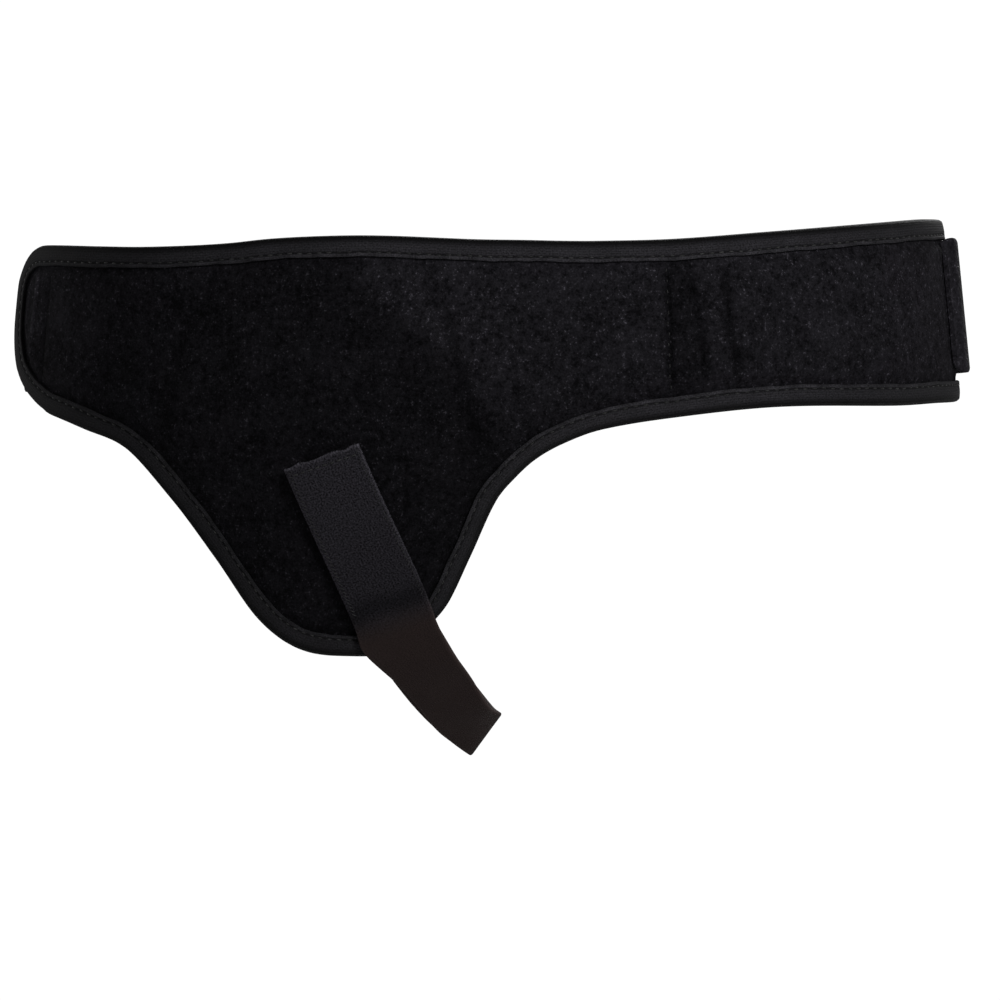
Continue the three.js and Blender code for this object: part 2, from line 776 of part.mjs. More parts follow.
const belt = new THREE.Group();
for (const { name, geometry, colour, roughness } of pieces) {
  const material = new THREE.MeshStandardMaterial({ color: colour, roughness, metalness: 0 });
  const mesh = new THREE.Mesh(geometry, material);
  mesh.name = name;
  belt.add(mesh);
}

export default belt;
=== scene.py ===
"""A hernia belt in its worn form, dressed in cloth: napped panel, ribbed binding, webbing and thread.

Metres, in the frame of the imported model: +X is the wearer's left, the front faces -Y and +Z is up. Every
soft piece is made again on the same hip form as the model's solids, in places named run, rise and height:
run is walked round the hips from the front middle, rise is upwards and height is above the form.
"""
import bpy
import math
import numpy as np
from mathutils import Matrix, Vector


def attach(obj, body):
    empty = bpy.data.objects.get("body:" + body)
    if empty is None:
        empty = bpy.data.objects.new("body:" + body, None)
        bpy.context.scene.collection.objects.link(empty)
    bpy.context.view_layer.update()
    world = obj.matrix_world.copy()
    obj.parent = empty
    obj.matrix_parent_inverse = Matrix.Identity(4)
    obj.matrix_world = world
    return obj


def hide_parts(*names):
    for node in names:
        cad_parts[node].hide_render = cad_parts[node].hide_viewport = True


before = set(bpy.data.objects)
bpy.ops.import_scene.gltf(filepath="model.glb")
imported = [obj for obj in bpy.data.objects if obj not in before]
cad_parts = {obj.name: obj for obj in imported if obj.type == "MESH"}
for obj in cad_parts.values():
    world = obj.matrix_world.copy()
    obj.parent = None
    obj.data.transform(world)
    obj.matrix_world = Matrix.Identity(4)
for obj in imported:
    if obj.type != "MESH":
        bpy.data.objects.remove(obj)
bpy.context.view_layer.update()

# Hip form
HIP_HALF_WIDTH = 0.170
HIP_FRONT_DEPTH = 0.105
HIP_BACK_DEPTH = 0.118
HIP_SQUARENESS = 2.3
HIP_FLARE = 0.1
GROIN_BEND_DROP = 0.022
THIGH_DEPTH = 0.092
THIGH_ACROSS = 0.075
THIGH_ROUNDNESS = 0.090
THIGH_BLEND = 0.015

# Front panel and its binding
WAIST_RISE = 0.036
LOBE_DROP = 0.125
PANEL_THICKNESS = 0.004
RIM_THICKNESS = 0.0024
RIM_MARGIN = 0.0015
RIM_BEVEL = 0.0025
EDGE_CUP = 0.0024
EDGE_CUP_OVER_HIPS = 0.0008
EDGE_CUP_WIDTH = 0.012
LEFT_HIP_START = 0.7
RIGHT_END_BEFORE_SIDE = 0.027
RIGHT_END_TOP_RADIUS = 0.017
RIGHT_END_BOTTOM_RADIUS = 0.032
RIGHT_END_STAND_OFF = 0.0014
RIGHT_END_STAND_OFF_LENGTH = 0.045
LEFT_END_PAST_SIDE = 0.040
LEFT_END_RADIUS = 0.012
BINDING_THICKNESS = 0.0009
BINDING_LEG = 0.0065

# Groin pad
PAD_THICKNESS = 0.008
PAD_RIM_THICKNESS = 0.002
PAD_BULGE = 0.002
PAD_SHOULDER = 0.020

# Straps and hook tape
BACK_STRAP_WIDTH = 0.050
BACK_STRAP_THICKNESS = 0.0025
BACK_STRAP_RIGHT_MIDDLE = -0.005
BACK_STRAP_LEFT_MIDDLE = 0.0032
BACK_STRAP_LEFT_BEFORE_SIDE = 0.027
BACK_STRAP_END_RADIUS = 0.004
BACK_STRAP_RAMP = 0.040
RIGHT_LAP = 0.068
RIGHT_LAP_STEP = 0.038
GROIN_STRAP_WIDTH = 0.028
GROIN_STRAP_THICKNESS = 0.0018
HOOK_TAPE_THICKNESS = 0.0015
HOOK_TAPE_MARGIN = 0.004
RIGHT_HOOK_LENGTH = 0.036
FRONT_HOOK_LENGTH = 0.050
REAR_HOOK_LENGTH = 0.040

# Clearance between layers
SEAT = 0.0003
BINDING_SEAT = 0.00045
PAD_SEAT = 0.0008
LAP_SEAT = 0.00055

# Outline of the bound panel: share of the way round to the side, share of WAIST_RISE above the origin and
# share of LOBE_DROP below it
PANEL_OUTLINE = [
    (-1.0, 0.7, 0.262),
    (-0.84, 0.7, 0.271),
    (-0.765, 0.698, 0.289),
    (-0.663, 0.683, 0.341),
    (-0.579, 0.675, 0.4),
    (-0.506, 0.688, 0.545),
    (-0.437, 0.715, 0.72),
    (-0.369, 0.756, 0.892),
    (-0.303, 0.778, 0.979),
    (-0.225, 0.789, 1.0),
    (-0.158, 0.783, 0.986),
    (-0.08, 0.763, 0.874),
    (-0.035, 0.751, 0.712),
    (0.005, 0.745, 0.553),
    (0.036, 0.743, 0.483),
    (0.07, 0.74, 0.426),
    (0.113, 0.734, 0.381),
    (0.175, 0.733, 0.339),
    (0.303, 0.755, 0.301),
    (0.471, 0.834, 0.272),
    (0.712, 0.946, 0.269),
    (0.847, 0.988, 0.262),
    (1.3, 1.0, 0.262),
]

# Outline of the groin pad, in the same shares
PAD_OUTLINE = [
    (-0.478, 0.3, 0.42),
    (-0.447, 0.4, 0.5),
    (-0.38, 0.42, 0.664),
    (-0.307, 0.42, 0.84),
    (-0.235, 0.41, 0.896),
    (-0.153, 0.38, 0.824),
    (-0.1, 0.32, 0.656),
    (-0.068, -0.35, 0.54),
    (-0.04, -1.0, 0.45),
]

# Seam and creases of the panel: share of the way to the side, lean of the foot, depth, half width and how
# much painted shade darkens them
PANEL_DENTS = [
    (0.288, 0.0, 0.0012, 0.0026, 0.45),
    (0.320, 0.032, 0.0011, 0.0024, 0.5),
    (0.383, 0.014, 0.0012, 0.0026, 0.55),
]
SEAM_AROUND = PANEL_DENTS[0][0]
# Painted shade in the valley just past the seam: its width and strength
VALLEY_WIDTH = 0.011
VALLEY_PAINTED_SHADE = 0.35

# Painted shade over the pad's side of the panel, bounded by a line given as rise and share of the way to the
# side
PAD_SIDE_SHADE_EDGE = ((0.012, -0.21), (-0.0046, -0.126), (-0.0205, -0.042), (-0.05, 0.03))
PAD_SIDE_SHADE_SOFTNESS = 0.014
PAD_SIDE_PAINTED_SHADE = 0.5
PAD_SIDE_SHADE_START = 0.020
PAD_SIDE_SHADE_FADE = 0.045
# Painted shade on the lower part of the panel, at the front middle and past the seam
LOWER_PAINTED_SHADE_MIDDLE = 0.4
LOWER_PAINTED_SHADE_SIDE = 0.3

# Lines where the groin pad's edges show through the cloth: rise and share of the way to the side
PAD_EDGE_LINES = [
    ((0.0156, -0.456), (0.0048, -0.462), (-0.010, -0.497), (-0.0432, -0.519)),
    ((0.012, -0.100), (-0.0024, -0.068), (-0.030, -0.035), (-0.0472, -0.016)),
]
PAD_LINE_DEPTH = 0.0007
PAD_LINE_HALF = 0.005
# Painted shade in the grooves along these lines
PAD_LINE_PAINTED_SHADE = 0.3
PAD_LINE_FADE = 0.010

# Sewn lines over the right-hip end: distance from its tip, height, half width and change of tone, which is
# lighter on the two raised lines and a painted shadow in the sunk one
END_LINES = [
    (0.0105, 0.0004, 0.0014, 0.7),
    (0.0165, 0.0006, 0.0016, 1.2),
    (0.0245, -0.0007, 0.0024, -0.5),
]

# Route of the groin strap after the lobe: share of the hip's half width, of its front or back depth and of
# LOBE_DROP, the direction that the outer face looks in, and the share of the width that is left
GROIN_ROUTE = [
    (-0.141, -0.771, 1.034, (0.36, -0.47, -0.81), 0.86),
    (-0.098, -0.629, 1.112, (0.35, -0.59, -0.73), 0.8),
    (-0.057, -0.448, 1.198, (0.36, -0.43, -0.83), 0.76),
    (-0.012, -0.21, 1.251, (0.79, -0.17, -0.59), 0.7),
    (-0.03, 0.017, 1.244, (0.72, 0.13, -0.68), 0.72),
    (-0.06, 0.229, 1.216, (0.57, 0.27, -0.77), 0.78),
    (-0.102, 0.441, 1.164, (0.4, 0.4, -0.81), 0.86),
    (-0.157, 0.636, 1.072, (0.23, 0.6, -0.76), 0.94),
    (-0.224, 0.797, 0.932, (0.11, 0.82, -0.55), 1.0),
    (-0.284, 0.903, 0.76, (0.05, 0.93, -0.35), 1.0),
    (-0.329, 0.962, 0.576, (0.0, 0.98, -0.2), 1.0),
    (-0.365, 0.996, 0.4, (-0.1, 0.99, -0.05), 1.0),
]


def ease(share):
    """0 to 1 with a slow start and a slow end."""
    t = np.clip(share, 0, 1)
    return t * t * (3 - 2 * t)


def mix(start, end, share):
    return start + (end - start) * share


def read_table(table, column, around):
    """Smooth curve through one column of a table, read along its first column."""
    places = np.array([row[0] for row in table])
    values = np.array([row[column] for row in table])
    count = len(places)
    before = np.maximum(np.arange(count) - 1, 0)
    after = np.minimum(np.arange(count) + 1, count - 1)
    slopes = (values[after] - values[before]) / (places[after] - places[before])
    i = np.clip(np.searchsorted(places, around, side="left") - 1, 0, count - 2)
    span = places[i + 1] - places[i]
    t = np.clip((around - places[i]) / span, 0, 1)
    start_pull = t * (1 - t) ** 2 * span * slopes[i]
    end_pull = t * t * (t - 1) * span * slopes[i + 1]
    return mix(values[i], values[i + 1], ease(t)) + start_pull + end_pull


# Half of the hip's plan outline, with the length walked so far
PLAN_STEPS = 720
plan_angle = np.linspace(0, math.pi, PLAN_STEPS + 1)
plan_depth = np.where(plan_angle < math.pi / 2, HIP_FRONT_DEPTH, HIP_BACK_DEPTH)
plan_x = HIP_HALF_WIDTH * np.abs(np.sin(plan_angle)) ** (2 / HIP_SQUARENESS)
plan_y = -np.sign(np.cos(plan_angle)) * plan_depth * np.abs(np.cos(plan_angle)) ** (2 / HIP_SQUARENESS)
plan_walked = np.concatenate([[0], np.cumsum(np.hypot(np.diff(plan_x), np.diff(plan_y)))])
SIDE_RUN = plan_walked[PLAN_STEPS // 2]
HALF_LOOP = plan_walked[-1]
NORMAL_STEP = 0.0005


def hip_point(run, rise):
    """Points of the hip form: flared downwards and blended into the thighs below the groin bend."""
    wrapped = run - 2 * HALF_LOOP * np.round(run / (2 * HALF_LOOP))
    x = np.sign(wrapped) * np.interp(np.abs(wrapped), plan_walked, plan_x)
    y = np.interp(np.abs(wrapped), plan_walked, plan_y)
    x = x * (1 - HIP_FLARE * np.maximum(rise, -WAIST_RISE) / HIP_HALF_WIDTH)
    from_thigh_middle = np.hypot(x, THIGH_BLEND) - THIGH_ACROSS
    thigh_y = -THIGH_DEPTH + from_thigh_middle ** 2 / (2 * THIGH_ROUNDNESS)
    in_front = ease(-y / (HIP_FRONT_DEPTH / 2))
    below = ease((-rise - GROIN_BEND_DROP) / (LOBE_DROP - GROIN_BEND_DROP))
    return np.stack([x, mix(y, thigh_y, below * in_front), rise + 0 * x], -1)


def unit(vectors):
    return vectors / np.maximum(np.linalg.norm(vectors, axis=-1, keepdims=True), 1e-12)


def layer_point(run, rise, height):
    """Points of a layer that lies a height above the hip form."""
    run, rise, height = np.broadcast_arrays(run, rise, height)
    along_run = hip_point(run + NORMAL_STEP, rise) - hip_point(run - NORMAL_STEP, rise)
    along_rise = hip_point(run, rise + NORMAL_STEP) - hip_point(run, rise - NORMAL_STEP)
    outward = unit(np.cross(along_run, along_rise))
    return hip_point(run, rise) + outward * height[..., None]


# Front panel: its outline
PANEL_START = -(SIDE_RUN - RIGHT_END_BEFORE_SIDE)
PANEL_END = SIDE_RUN + LEFT_END_PAST_SIDE
BINDING_FOLD = BINDING_SEAT + BINDING_THICKNESS
RIM_WIDTH = BINDING_LEG + RIM_MARGIN


def rounded_end(from_tip, radius):
    left = np.clip(radius - from_tip, 0, radius)
    return radius - np.sqrt(radius ** 2 - left ** 2)


def upper_edge_line(run):
    return WAIST_RISE * read_table(PANEL_OUTLINE, 1, run / SIDE_RUN) - BINDING_FOLD


def lower_edge_line(run):
    return -LOBE_DROP * read_table(PANEL_OUTLINE, 2, run / SIDE_RUN) + BINDING_FOLD


def panel_top(run):
    return (upper_edge_line(run) - rounded_end(run - PANEL_START, RIGHT_END_TOP_RADIUS)
            - rounded_end(PANEL_END - run, LEFT_END_RADIUS))


def panel_bottom(run):
    return (lower_edge_line(run) + rounded_end(run - PANEL_START, RIGHT_END_BOTTOM_RADIUS)
            + rounded_end(PANEL_END - run, LEFT_END_RADIUS))


LINE_STEP = 0.002
LINE_REACH = 0.016


def from_line(edge, inward, run, rise):
    """Distance inwards from an edge line, by the nearest of its short straight pieces."""
    nearest = np.full(np.shape(run), np.inf)
    for shift in np.arange(-LINE_REACH, LINE_REACH - LINE_STEP / 2, LINE_STEP):
        start = edge(run + shift) - rise
        climb = edge(run + shift + LINE_STEP) - rise - start
        along = np.clip(-(shift * LINE_STEP + start * climb) / (LINE_STEP ** 2 + climb ** 2), 0, 1)
        nearest = np.minimum(nearest, np.hypot(shift + along * LINE_STEP, start + along * climb))
    return np.sign(inward * (rise - edge(run))) * nearest


def from_corner(from_end, from_side, radius):
    """Distance inwards from a corner's rounded outline."""
    rounded = radius - np.hypot(radius - from_end, radius - from_side)
    in_corner = (from_end < radius) & (from_side < radius)
    return np.where(in_corner, rounded, np.minimum(from_end, from_side))


def from_long_edges(run, rise):
    return from_line(upper_edge_line, -1, run, rise), from_line(lower_edge_line, 1, run, rise)


def from_edge(run, rise):
    upper, lower = from_long_edges(run, rise)
    return np.minimum.reduce([
        from_corner(run - PANEL_START, upper, RIGHT_END_TOP_RADIUS),
        from_corner(run - PANEL_START, lower, RIGHT_END_BOTTOM_RADIUS),
        from_corner(PANEL_END - run, upper, LEFT_END_RADIUS),
        from_corner(PANEL_END - run, lower, LEFT_END_RADIUS)])


# Groin pad and the layers at the fastenings
PAD_START = PAD_OUTLINE[0][0] * SIDE_RUN
PAD_END = PAD_OUTLINE[-1][0] * SIDE_RUN
OVER_BACK_STRAP = BACK_STRAP_THICKNESS + SEAT + HOOK_TAPE_THICKNESS + SEAT
OVER_PANEL_END = PANEL_THICKNESS + SEAT + HOOK_TAPE_THICKNESS + SEAT
BACK_STRAP_START = PANEL_START + RIGHT_LAP
BACK_STRAP_END = SIDE_RUN - BACK_STRAP_LEFT_BEFORE_SIDE
BACK_STRAP_FAR = BACK_STRAP_START + 2 * HALF_LOOP
BINDING_TIP = PANEL_END + BINDING_FOLD


def pad_top(run):
    return WAIST_RISE * read_table(PAD_OUTLINE, 1, run / SIDE_RUN)


def pad_bottom(run):
    return -LOBE_DROP * read_table(PAD_OUTLINE, 2, run / SIDE_RUN)


def pad_lift(run, rise):
    """How fully the pad lifts the cloth at a place."""
    ends = ease((run - PAD_START) / PAD_SHOULDER) * ease((PAD_END - run) / PAD_SHOULDER)
    return (ends * ease((pad_top(run) - rise) / PAD_SHOULDER)
            * ease((rise - pad_bottom(run)) / PAD_SHOULDER))


def panel_middle(run, rise):
    """Height of the panel's middle surface above the hip form."""
    over_strap = ease((BACK_STRAP_START + RIGHT_LAP_STEP - run) / RIGHT_LAP_STEP)
    tip = np.clip((PANEL_START + RIGHT_END_STAND_OFF_LENGTH - run) / RIGHT_END_STAND_OFF_LENGTH, 0, 1)
    from_long_edge = np.minimum(*from_long_edges(run, rise))
    over_left_hip = ease((run / SIDE_RUN - LEFT_HIP_START) / (1 - LEFT_HIP_START))
    full_cup = mix(EDGE_CUP, EDGE_CUP_OVER_HIPS, np.maximum(over_strap, over_left_hip))
    cup = full_cup * np.maximum(0, 1 - from_long_edge / EDGE_CUP_WIDTH)
    lift = PAD_BULGE * pad_lift(run, rise)
    return (PANEL_THICKNESS / 2 + over_strap * OVER_BACK_STRAP + RIGHT_END_STAND_OFF * tip ** 2
            - cup + lift)


def panel_half_thickness(run, rise):
    inside = ease((from_edge(run, rise) - RIM_WIDTH) / RIM_BEVEL)
    return mix(RIM_THICKNESS, PANEL_THICKNESS, inside) / 2


def panel_outer(run, rise):
    return panel_middle(run, rise) + panel_half_thickness(run, rise)


def panel_inner(run, rise):
    return panel_middle(run, rise) - panel_half_thickness(run, rise)


# Mesh makers
CLOTH_MAP = "cloth"
SHARP_ANGLE = math.radians(55)
TONE = "tone"
STRETCH = "stretch"


def new_piece(name, points, faces, material, uv, fields):
    """A smooth mesh piece that rides on the belt.

    uv holds each point's place on the flat cloth, in metres, and fields a value for each point by its name.
    """
    mesh = bpy.data.meshes.new(name)
    mesh.from_pydata(points.tolist(), [], faces.tolist())
    mesh.polygons.foreach_set("use_smooth", [True] * len(mesh.polygons))
    layer = mesh.uv_layers.new(name=CLOTH_MAP)
    corners = np.empty(len(mesh.loops), int)
    mesh.loops.foreach_get("vertex_index", corners)
    layer.uv.foreach_set("vector", uv[corners].astype(np.float32).ravel())
    for field_name, values in fields.items():
        field = mesh.attributes.new(field_name, "FLOAT", "POINT")
        field.data.foreach_set("value", values.astype(np.float32).ravel())
    mesh.set_sharp_from_angle(angle=SHARP_ANGLE)
    return ridden(name, mesh, material)


def ridden(name, mesh, material):
    """An object of a finished mesh, riding on the belt."""
    mesh.materials.append(material)
    piece = bpy.data.objects.new(name, mesh)
    bpy.context.scene.collection.objects.link(piece)
    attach(piece, "root")
    return piece


def shell_faces(columns, rows):
    """Faces of a closed shell between an outer and an inner grid of columns by rows."""
    outer = np.arange(columns * rows).reshape(columns, rows)
    inner = outer + columns * rows

    def quads(a, b, c, d):
        return np.stack([a.ravel(), b.ravel(), c.ravel(), d.ravel()], -1)

    return np.concatenate([
        quads(outer[:-1, :-1], outer[1:, :-1], outer[1:, 1:], outer[:-1, 1:]),
        quads(inner[:-1, 1:], inner[1:, 1:], inner[1:, :-1], inner[:-1, :-1]),
        quads(inner[:-1, 0], inner[1:, 0], outer[1:, 0], outer[:-1, 0]),
        quads(outer[:-1, -1], outer[1:, -1], inner[1:, -1], inner[:-1, -1]),
        quads(inner[0, :-1], outer[0, :-1], outer[0, 1:], inner[0, 1:]),
        quads(outer[-1, :-1], inner[-1, :-1], inner[-1, 1:], outer[-1, 1:])])


def shell_piece(name, outer, inner, uv, material, **fields):
    """A closed shell whose uv and fields are the same on both faces."""
    columns, rows = outer.shape[:2]
    points = np.concatenate([outer.reshape(-1, 3), inner.reshape(-1, 3)])
    flat = uv.reshape(-1, 2)
    both = {TONE: np.ones(2 * columns * rows)}
    for field_name, values in fields.items():
        both[field_name] = np.tile(np.broadcast_to(values, (columns, rows)).ravel(), 2)
    return new_piece(name, points, shell_faces(columns, rows), material, np.concatenate([flat, flat]), both)


def ring_piece(name, sections, uv, material, tone):
    """A ring of closed sections, each joined to the next. sections is stations by points."""
    stations, size = sections.shape[:2]
    here = np.arange(stations * size).reshape(stations, size)
    ahead = np.roll(here, -1, 0)
    faces = np.stack([here, np.roll(here, -1, 1), np.roll(ahead, -1, 1), ahead], -1).reshape(-1, 4)
    return new_piece(name, sections.reshape(-1, 3), faces, material, uv.reshape(-1, 2), {TONE: tone})


def even_places(start, end, step):
    return np.linspace(start, end, max(1, round((end - start) / step)) + 1)


def wave(places, length, phase=0.0):
    """A slow waver of a hand-sewn line, between -1 and 1, from three sines of unlike lengths."""
    turns = 2 * math.pi * places / length
    return (np.sin(turns + phase) + 0.6 * np.sin(turns * 2.3 + phase * 3.1)
            + 0.4 * np.sin(turns * 4.7 + phase * 5.3)) / 2


# Shader helpers
SHEEN_ROUGHNESS = 0.5


def new_material(name, roughness, specular, sheen):
    """A material with its own cloth shader, and its nodes and links."""
    material = bpy.data.materials.new(name)
    material.use_nodes = True
    nodes = material.node_tree.nodes
    shader = nodes["Principled BSDF"]
    shader.inputs["Roughness"].default_value = roughness
    shader.inputs["Specular IOR Level"].default_value = specular
    shader.inputs["Sheen Weight"].default_value = sheen
    shader.inputs["Sheen Roughness"].default_value = SHEEN_ROUGHNESS
    return material, nodes, material.node_tree.links, shader


def effect_group(name, inputs, outputs):
    """An empty node group with named inputs (name, socket type, value) and named value outputs."""
    group = bpy.data.node_groups.new(name, "ShaderNodeTree")
    for socket_name, kind, value in inputs:
        socket = group.interface.new_socket(socket_name, in_out="INPUT", socket_type=kind)
        if value is not None:
            socket.default_value = value
    for socket_name in outputs:
        group.interface.new_socket(socket_name, in_out="OUTPUT", socket_type="NodeSocketFloat")
    return group, group.nodes.new("NodeGroupInput"), group.nodes.new("NodeGroupOutput")


def feed(tree, value, socket):
    """Link a socket to an input, or set a number or colour on it."""
    if isinstance(value, bpy.types.NodeSocket):
        tree.links.new(value, socket)
    else:
        socket.default_value = value


def math_node(tree, operation, first, second=0.0):
    node = tree.nodes.new("ShaderNodeMath")
    node.operation = operation
    feed(tree, first, node.inputs[0])
    feed(tree, second, node.inputs[1])
    return node.outputs[0]


def spread_node(tree, value, low, high, to_low=0.0, to_high=1.0):
    """A Map Range node from low to high, held at both ends."""
    node = tree.nodes.new("ShaderNodeMapRange")
    tree.links.new(value, node.inputs["Value"])
    for socket, number in zip(("From Min", "From Max", "To Min", "To Max"), (low, high, to_low, to_high)):
        node.inputs[socket].default_value = number
    return node.outputs["Result"]


def noise_node(tree, vector, scale, detail=2.0, roughness=0.5):
    node = tree.nodes.new("ShaderNodeTexNoise")
    tree.links.new(vector, node.inputs["Vector"])
    node.inputs["Scale"].default_value = scale
    node.inputs["Detail"].default_value = detail
    node.inputs["Roughness"].default_value = roughness
    return node.outputs["Fac"]


def colour_mix(tree, share, first, second):
    """A colour between two, each a socket or a colour."""
    node = tree.nodes.new("ShaderNodeMix")
    node.data_type = "RGBA"
    for name, value in (("Factor", share), ("A", first), ("B", second)):
        feed(tree, value, [socket for socket in node.inputs if socket.name == name and socket.enabled][0])
    return [socket for socket in node.outputs if socket.enabled][0]


def grey(level, tint=(1.0, 1.0, 1.0)):
    return (level * tint[0], level * tint[1], level * tint[2], 1.0)


def place_group(nodes, links, group, vector, **values):
    """A group placed in a material, fed by a coordinate, with its own values."""
    node = nodes.new("ShaderNodeGroup")
    node.node_tree = group
    links.new(vector, node.inputs["Vector"])
    for name, value in values.items():
        node.inputs[name.replace("_", " ")].default_value = value
    return node.outputs


def bump(nodes, links, shader, height, distance):
    node = nodes.new("ShaderNodeBump")
    node.inputs["Distance"].default_value = distance
    links.new(height, node.inputs["Height"])
    links.new(node.outputs["Normal"], shader.inputs["Normal"])


def object_place(nodes):
    return nodes.new("ShaderNodeTexCoord").outputs["Object"]


def cloth_place(nodes):
    node = nodes.new("ShaderNodeUVMap")
    node.uv_map = CLOTH_MAP
    return node.outputs["UV"]


def field_value(nodes, name):
    node = nodes.new("ShaderNodeAttribute")
    node.attribute_name = name
    return node.outputs["Fac"]


def toned(material, base):
    """The base colour made darker or lighter by the piece's own tone at each place."""
    tree = material.node_tree
    scale = tree.nodes.new("ShaderNodeVectorMath")
    scale.operation = "SCALE"
    tree.links.new(base, scale.inputs[0])
    tree.links.new(field_value(tree.nodes, TONE), scale.inputs["Scale"])
    return scale.outputs["Vector"]


# Effects that several materials share
COOL = (1.0, 0.94, 1.13)
WARM = (1.32, 0.95, 0.90)
MAUVE = (1.0, 0.955, 1.1)
NAP_PATCHES = 90.0
NAP_CLUMPS = 420.0
NAP_LOOPS = 1300.0
PATCH_SHARE = 0.2
CLUMP_SHARE = 0.45
LOOP_SHARE = 0.35
CLUMPS_IN_LOOPS = 0.5
MOTTLE_SPREAD = (0.38, 0.64)
LOOP_SPREAD = (0.93, 1.06)
RIB_SHARE = 0.6
WEFT_SHARE = 0.4
RIB_LIFT = 0.3
YARN_GRAIN = 1600.0
YARN_SPREAD = (0.3, 0.7)


def build_nap_group():
    """Brushed loops of napped cloth: a mottled mask, a mask of single loops for painted highlights, and a
    height.
    """
    group, given, out = effect_group(
        "nap", [("Vector", "NodeSocketVector", None), ("Loop size", "NodeSocketFloat", 1.0)],
        ["Mottle", "Loops", "Height"])
    stretch = group.nodes.new("ShaderNodeVectorMath")
    stretch.operation = "SCALE"
    group.links.new(given.outputs["Vector"], stretch.inputs[0])
    group.links.new(given.outputs["Loop size"], stretch.inputs["Scale"])
    vector = stretch.outputs["Vector"]
    patches = noise_node(group, vector, NAP_PATCHES, 2.0)
    clumps = noise_node(group, vector, NAP_CLUMPS, 2.0, 0.6)
    loops = noise_node(group, vector, NAP_LOOPS, 1.0, 0.6)
    mottle = math_node(group, "ADD", math_node(group, "MULTIPLY", patches, PATCH_SHARE),
                       math_node(group, "MULTIPLY", clumps, CLUMP_SHARE))
    mottle = math_node(group, "ADD", mottle, math_node(group, "MULTIPLY", loops, LOOP_SHARE))
    glint = math_node(group, "ADD", loops, math_node(group, "MULTIPLY", clumps, CLUMPS_IN_LOOPS))
    group.links.new(spread_node(group, mottle, *MOTTLE_SPREAD), out.inputs["Mottle"])
    group.links.new(spread_node(group, glint, *LOOP_SPREAD), out.inputs["Loops"])
    group.links.new(math_node(group, "ADD", loops, clumps), out.inputs["Height"])
    return group


def build_weave_group():
    """Ribs along a tape, crossed by a weft and roughened by the yarn: a mask of the tops and a height."""
    group, given, out = effect_group(
        "weave", [("Vector", "NodeSocketVector", None), ("Rib pitch", "NodeSocketFloat", 0.001),
                  ("Weft pitch", "NodeSocketFloat", 0.0006), ("Yarn", "NodeSocketFloat", 0.5)],
        ["Tops", "Height"])
    parts = group.nodes.new("ShaderNodeSeparateXYZ")
    group.links.new(given.outputs["Vector"], parts.inputs["Vector"])

    def ripple(place, pitch):
        turns = math_node(group, "MULTIPLY", math_node(group, "DIVIDE", place, pitch), 2 * math.pi)
        return spread_node(group, math_node(group, "SINE", turns), -1.0, 1.0)

    weft = ripple(parts.outputs["X"], given.outputs["Weft pitch"])
    ribs = ripple(parts.outputs["Y"], given.outputs["Rib pitch"])
    yarn = spread_node(group, noise_node(group, given.outputs["Vector"], YARN_GRAIN, 1.0), *YARN_SPREAD)
    woven = math_node(group, "ADD", math_node(group, "MULTIPLY", ribs, RIB_SHARE),
                      math_node(group, "MULTIPLY", weft, WEFT_SHARE))
    plain = math_node(group, "MULTIPLY", woven, math_node(group, "SUBTRACT", 1.0, given.outputs["Yarn"]))
    tops = math_node(group, "ADD", plain, math_node(group, "MULTIPLY", yarn, given.outputs["Yarn"]))
    group.links.new(tops, out.inputs["Tops"])
    group.links.new(math_node(group, "ADD", tops, math_node(group, "MULTIPLY", ribs, RIB_LIFT)),
                    out.inputs["Height"])
    return group


# Materials: a finish is roughness, specular and sheen, a spread is the range it takes and the range it gives
NAP_FINISH = (1.0, 0.02, 0.002)
NAP_BUMP = 0.0003
TAPE_ROUGHNESS = 0.8
TAPE_SHEEN = 0.003
TAPE_YARN = 0.65
TAPE_PATCHES = 110.0
TAPE_PATCH_SPREAD = (0.3, 0.7, 0.75, 1.1)
WEAVE_BUMP = 0.00012
ELASTIC_FINISH = (0.9, 0.02, 0.001)
ELASTIC_RIB_PITCH = 0.0011
ELASTIC_WEFT_PITCH = 0.0008
ELASTIC_YARN = 0.85
SLACK_DARK = 0.0010
SLACK_LIGHT = 0.0210
DRAWN_DARK = 0.0094
DRAWN_LIGHT = 0.0142
THREAD_FINISH = (0.6, 0.2, 0.02)
THREAD_TWIST = 260.0
THREAD_TWIST_SPREAD = (0.4, 0.62)
THREAD_WEAR = 16.0
THREAD_WEAR_SPREAD = (0.42, 0.6, 0.25, 1.0)
THREAD_DARK_SHARE = 0.2
THREAD_BUMP = 0.0001
HOOK_FINISH = (0.5, 0.2, 0.0)
HOOKS_PER_METRE = 700.0
HOOK_SCATTER = 0.15
HOOK_SPREAD = (0.1, 0.5, 1.0, 0.0)
HOOK_DARK = 0.003
HOOK_LIGHT = 0.014
HOOK_BUMP = 0.0004


def finished(material, base, height, distance):
    """The material with its toned base colour and a bump of a given depth on its shader."""
    tree = material.node_tree
    shader = tree.nodes["Principled BSDF"]
    tree.links.new(toned(material, base), shader.inputs["Base Color"])
    bump(tree.nodes, tree.links, shader, height, distance)
    return material


def loop_cloth(name, nap, dark, light, glint):
    """Napped black cloth: mottled pile with painted highlights on single loops."""
    material, nodes, links, _ = new_material(name, *NAP_FINISH)
    tree = material.node_tree
    effect = place_group(nodes, links, nap, object_place(nodes), Loop_size=1.0)
    base = colour_mix(tree, effect["Mottle"], grey(dark, COOL), grey(light, COOL))
    base = colour_mix(tree, effect["Loops"], base, grey(glint, COOL))
    return finished(material, base, effect["Height"], NAP_BUMP)


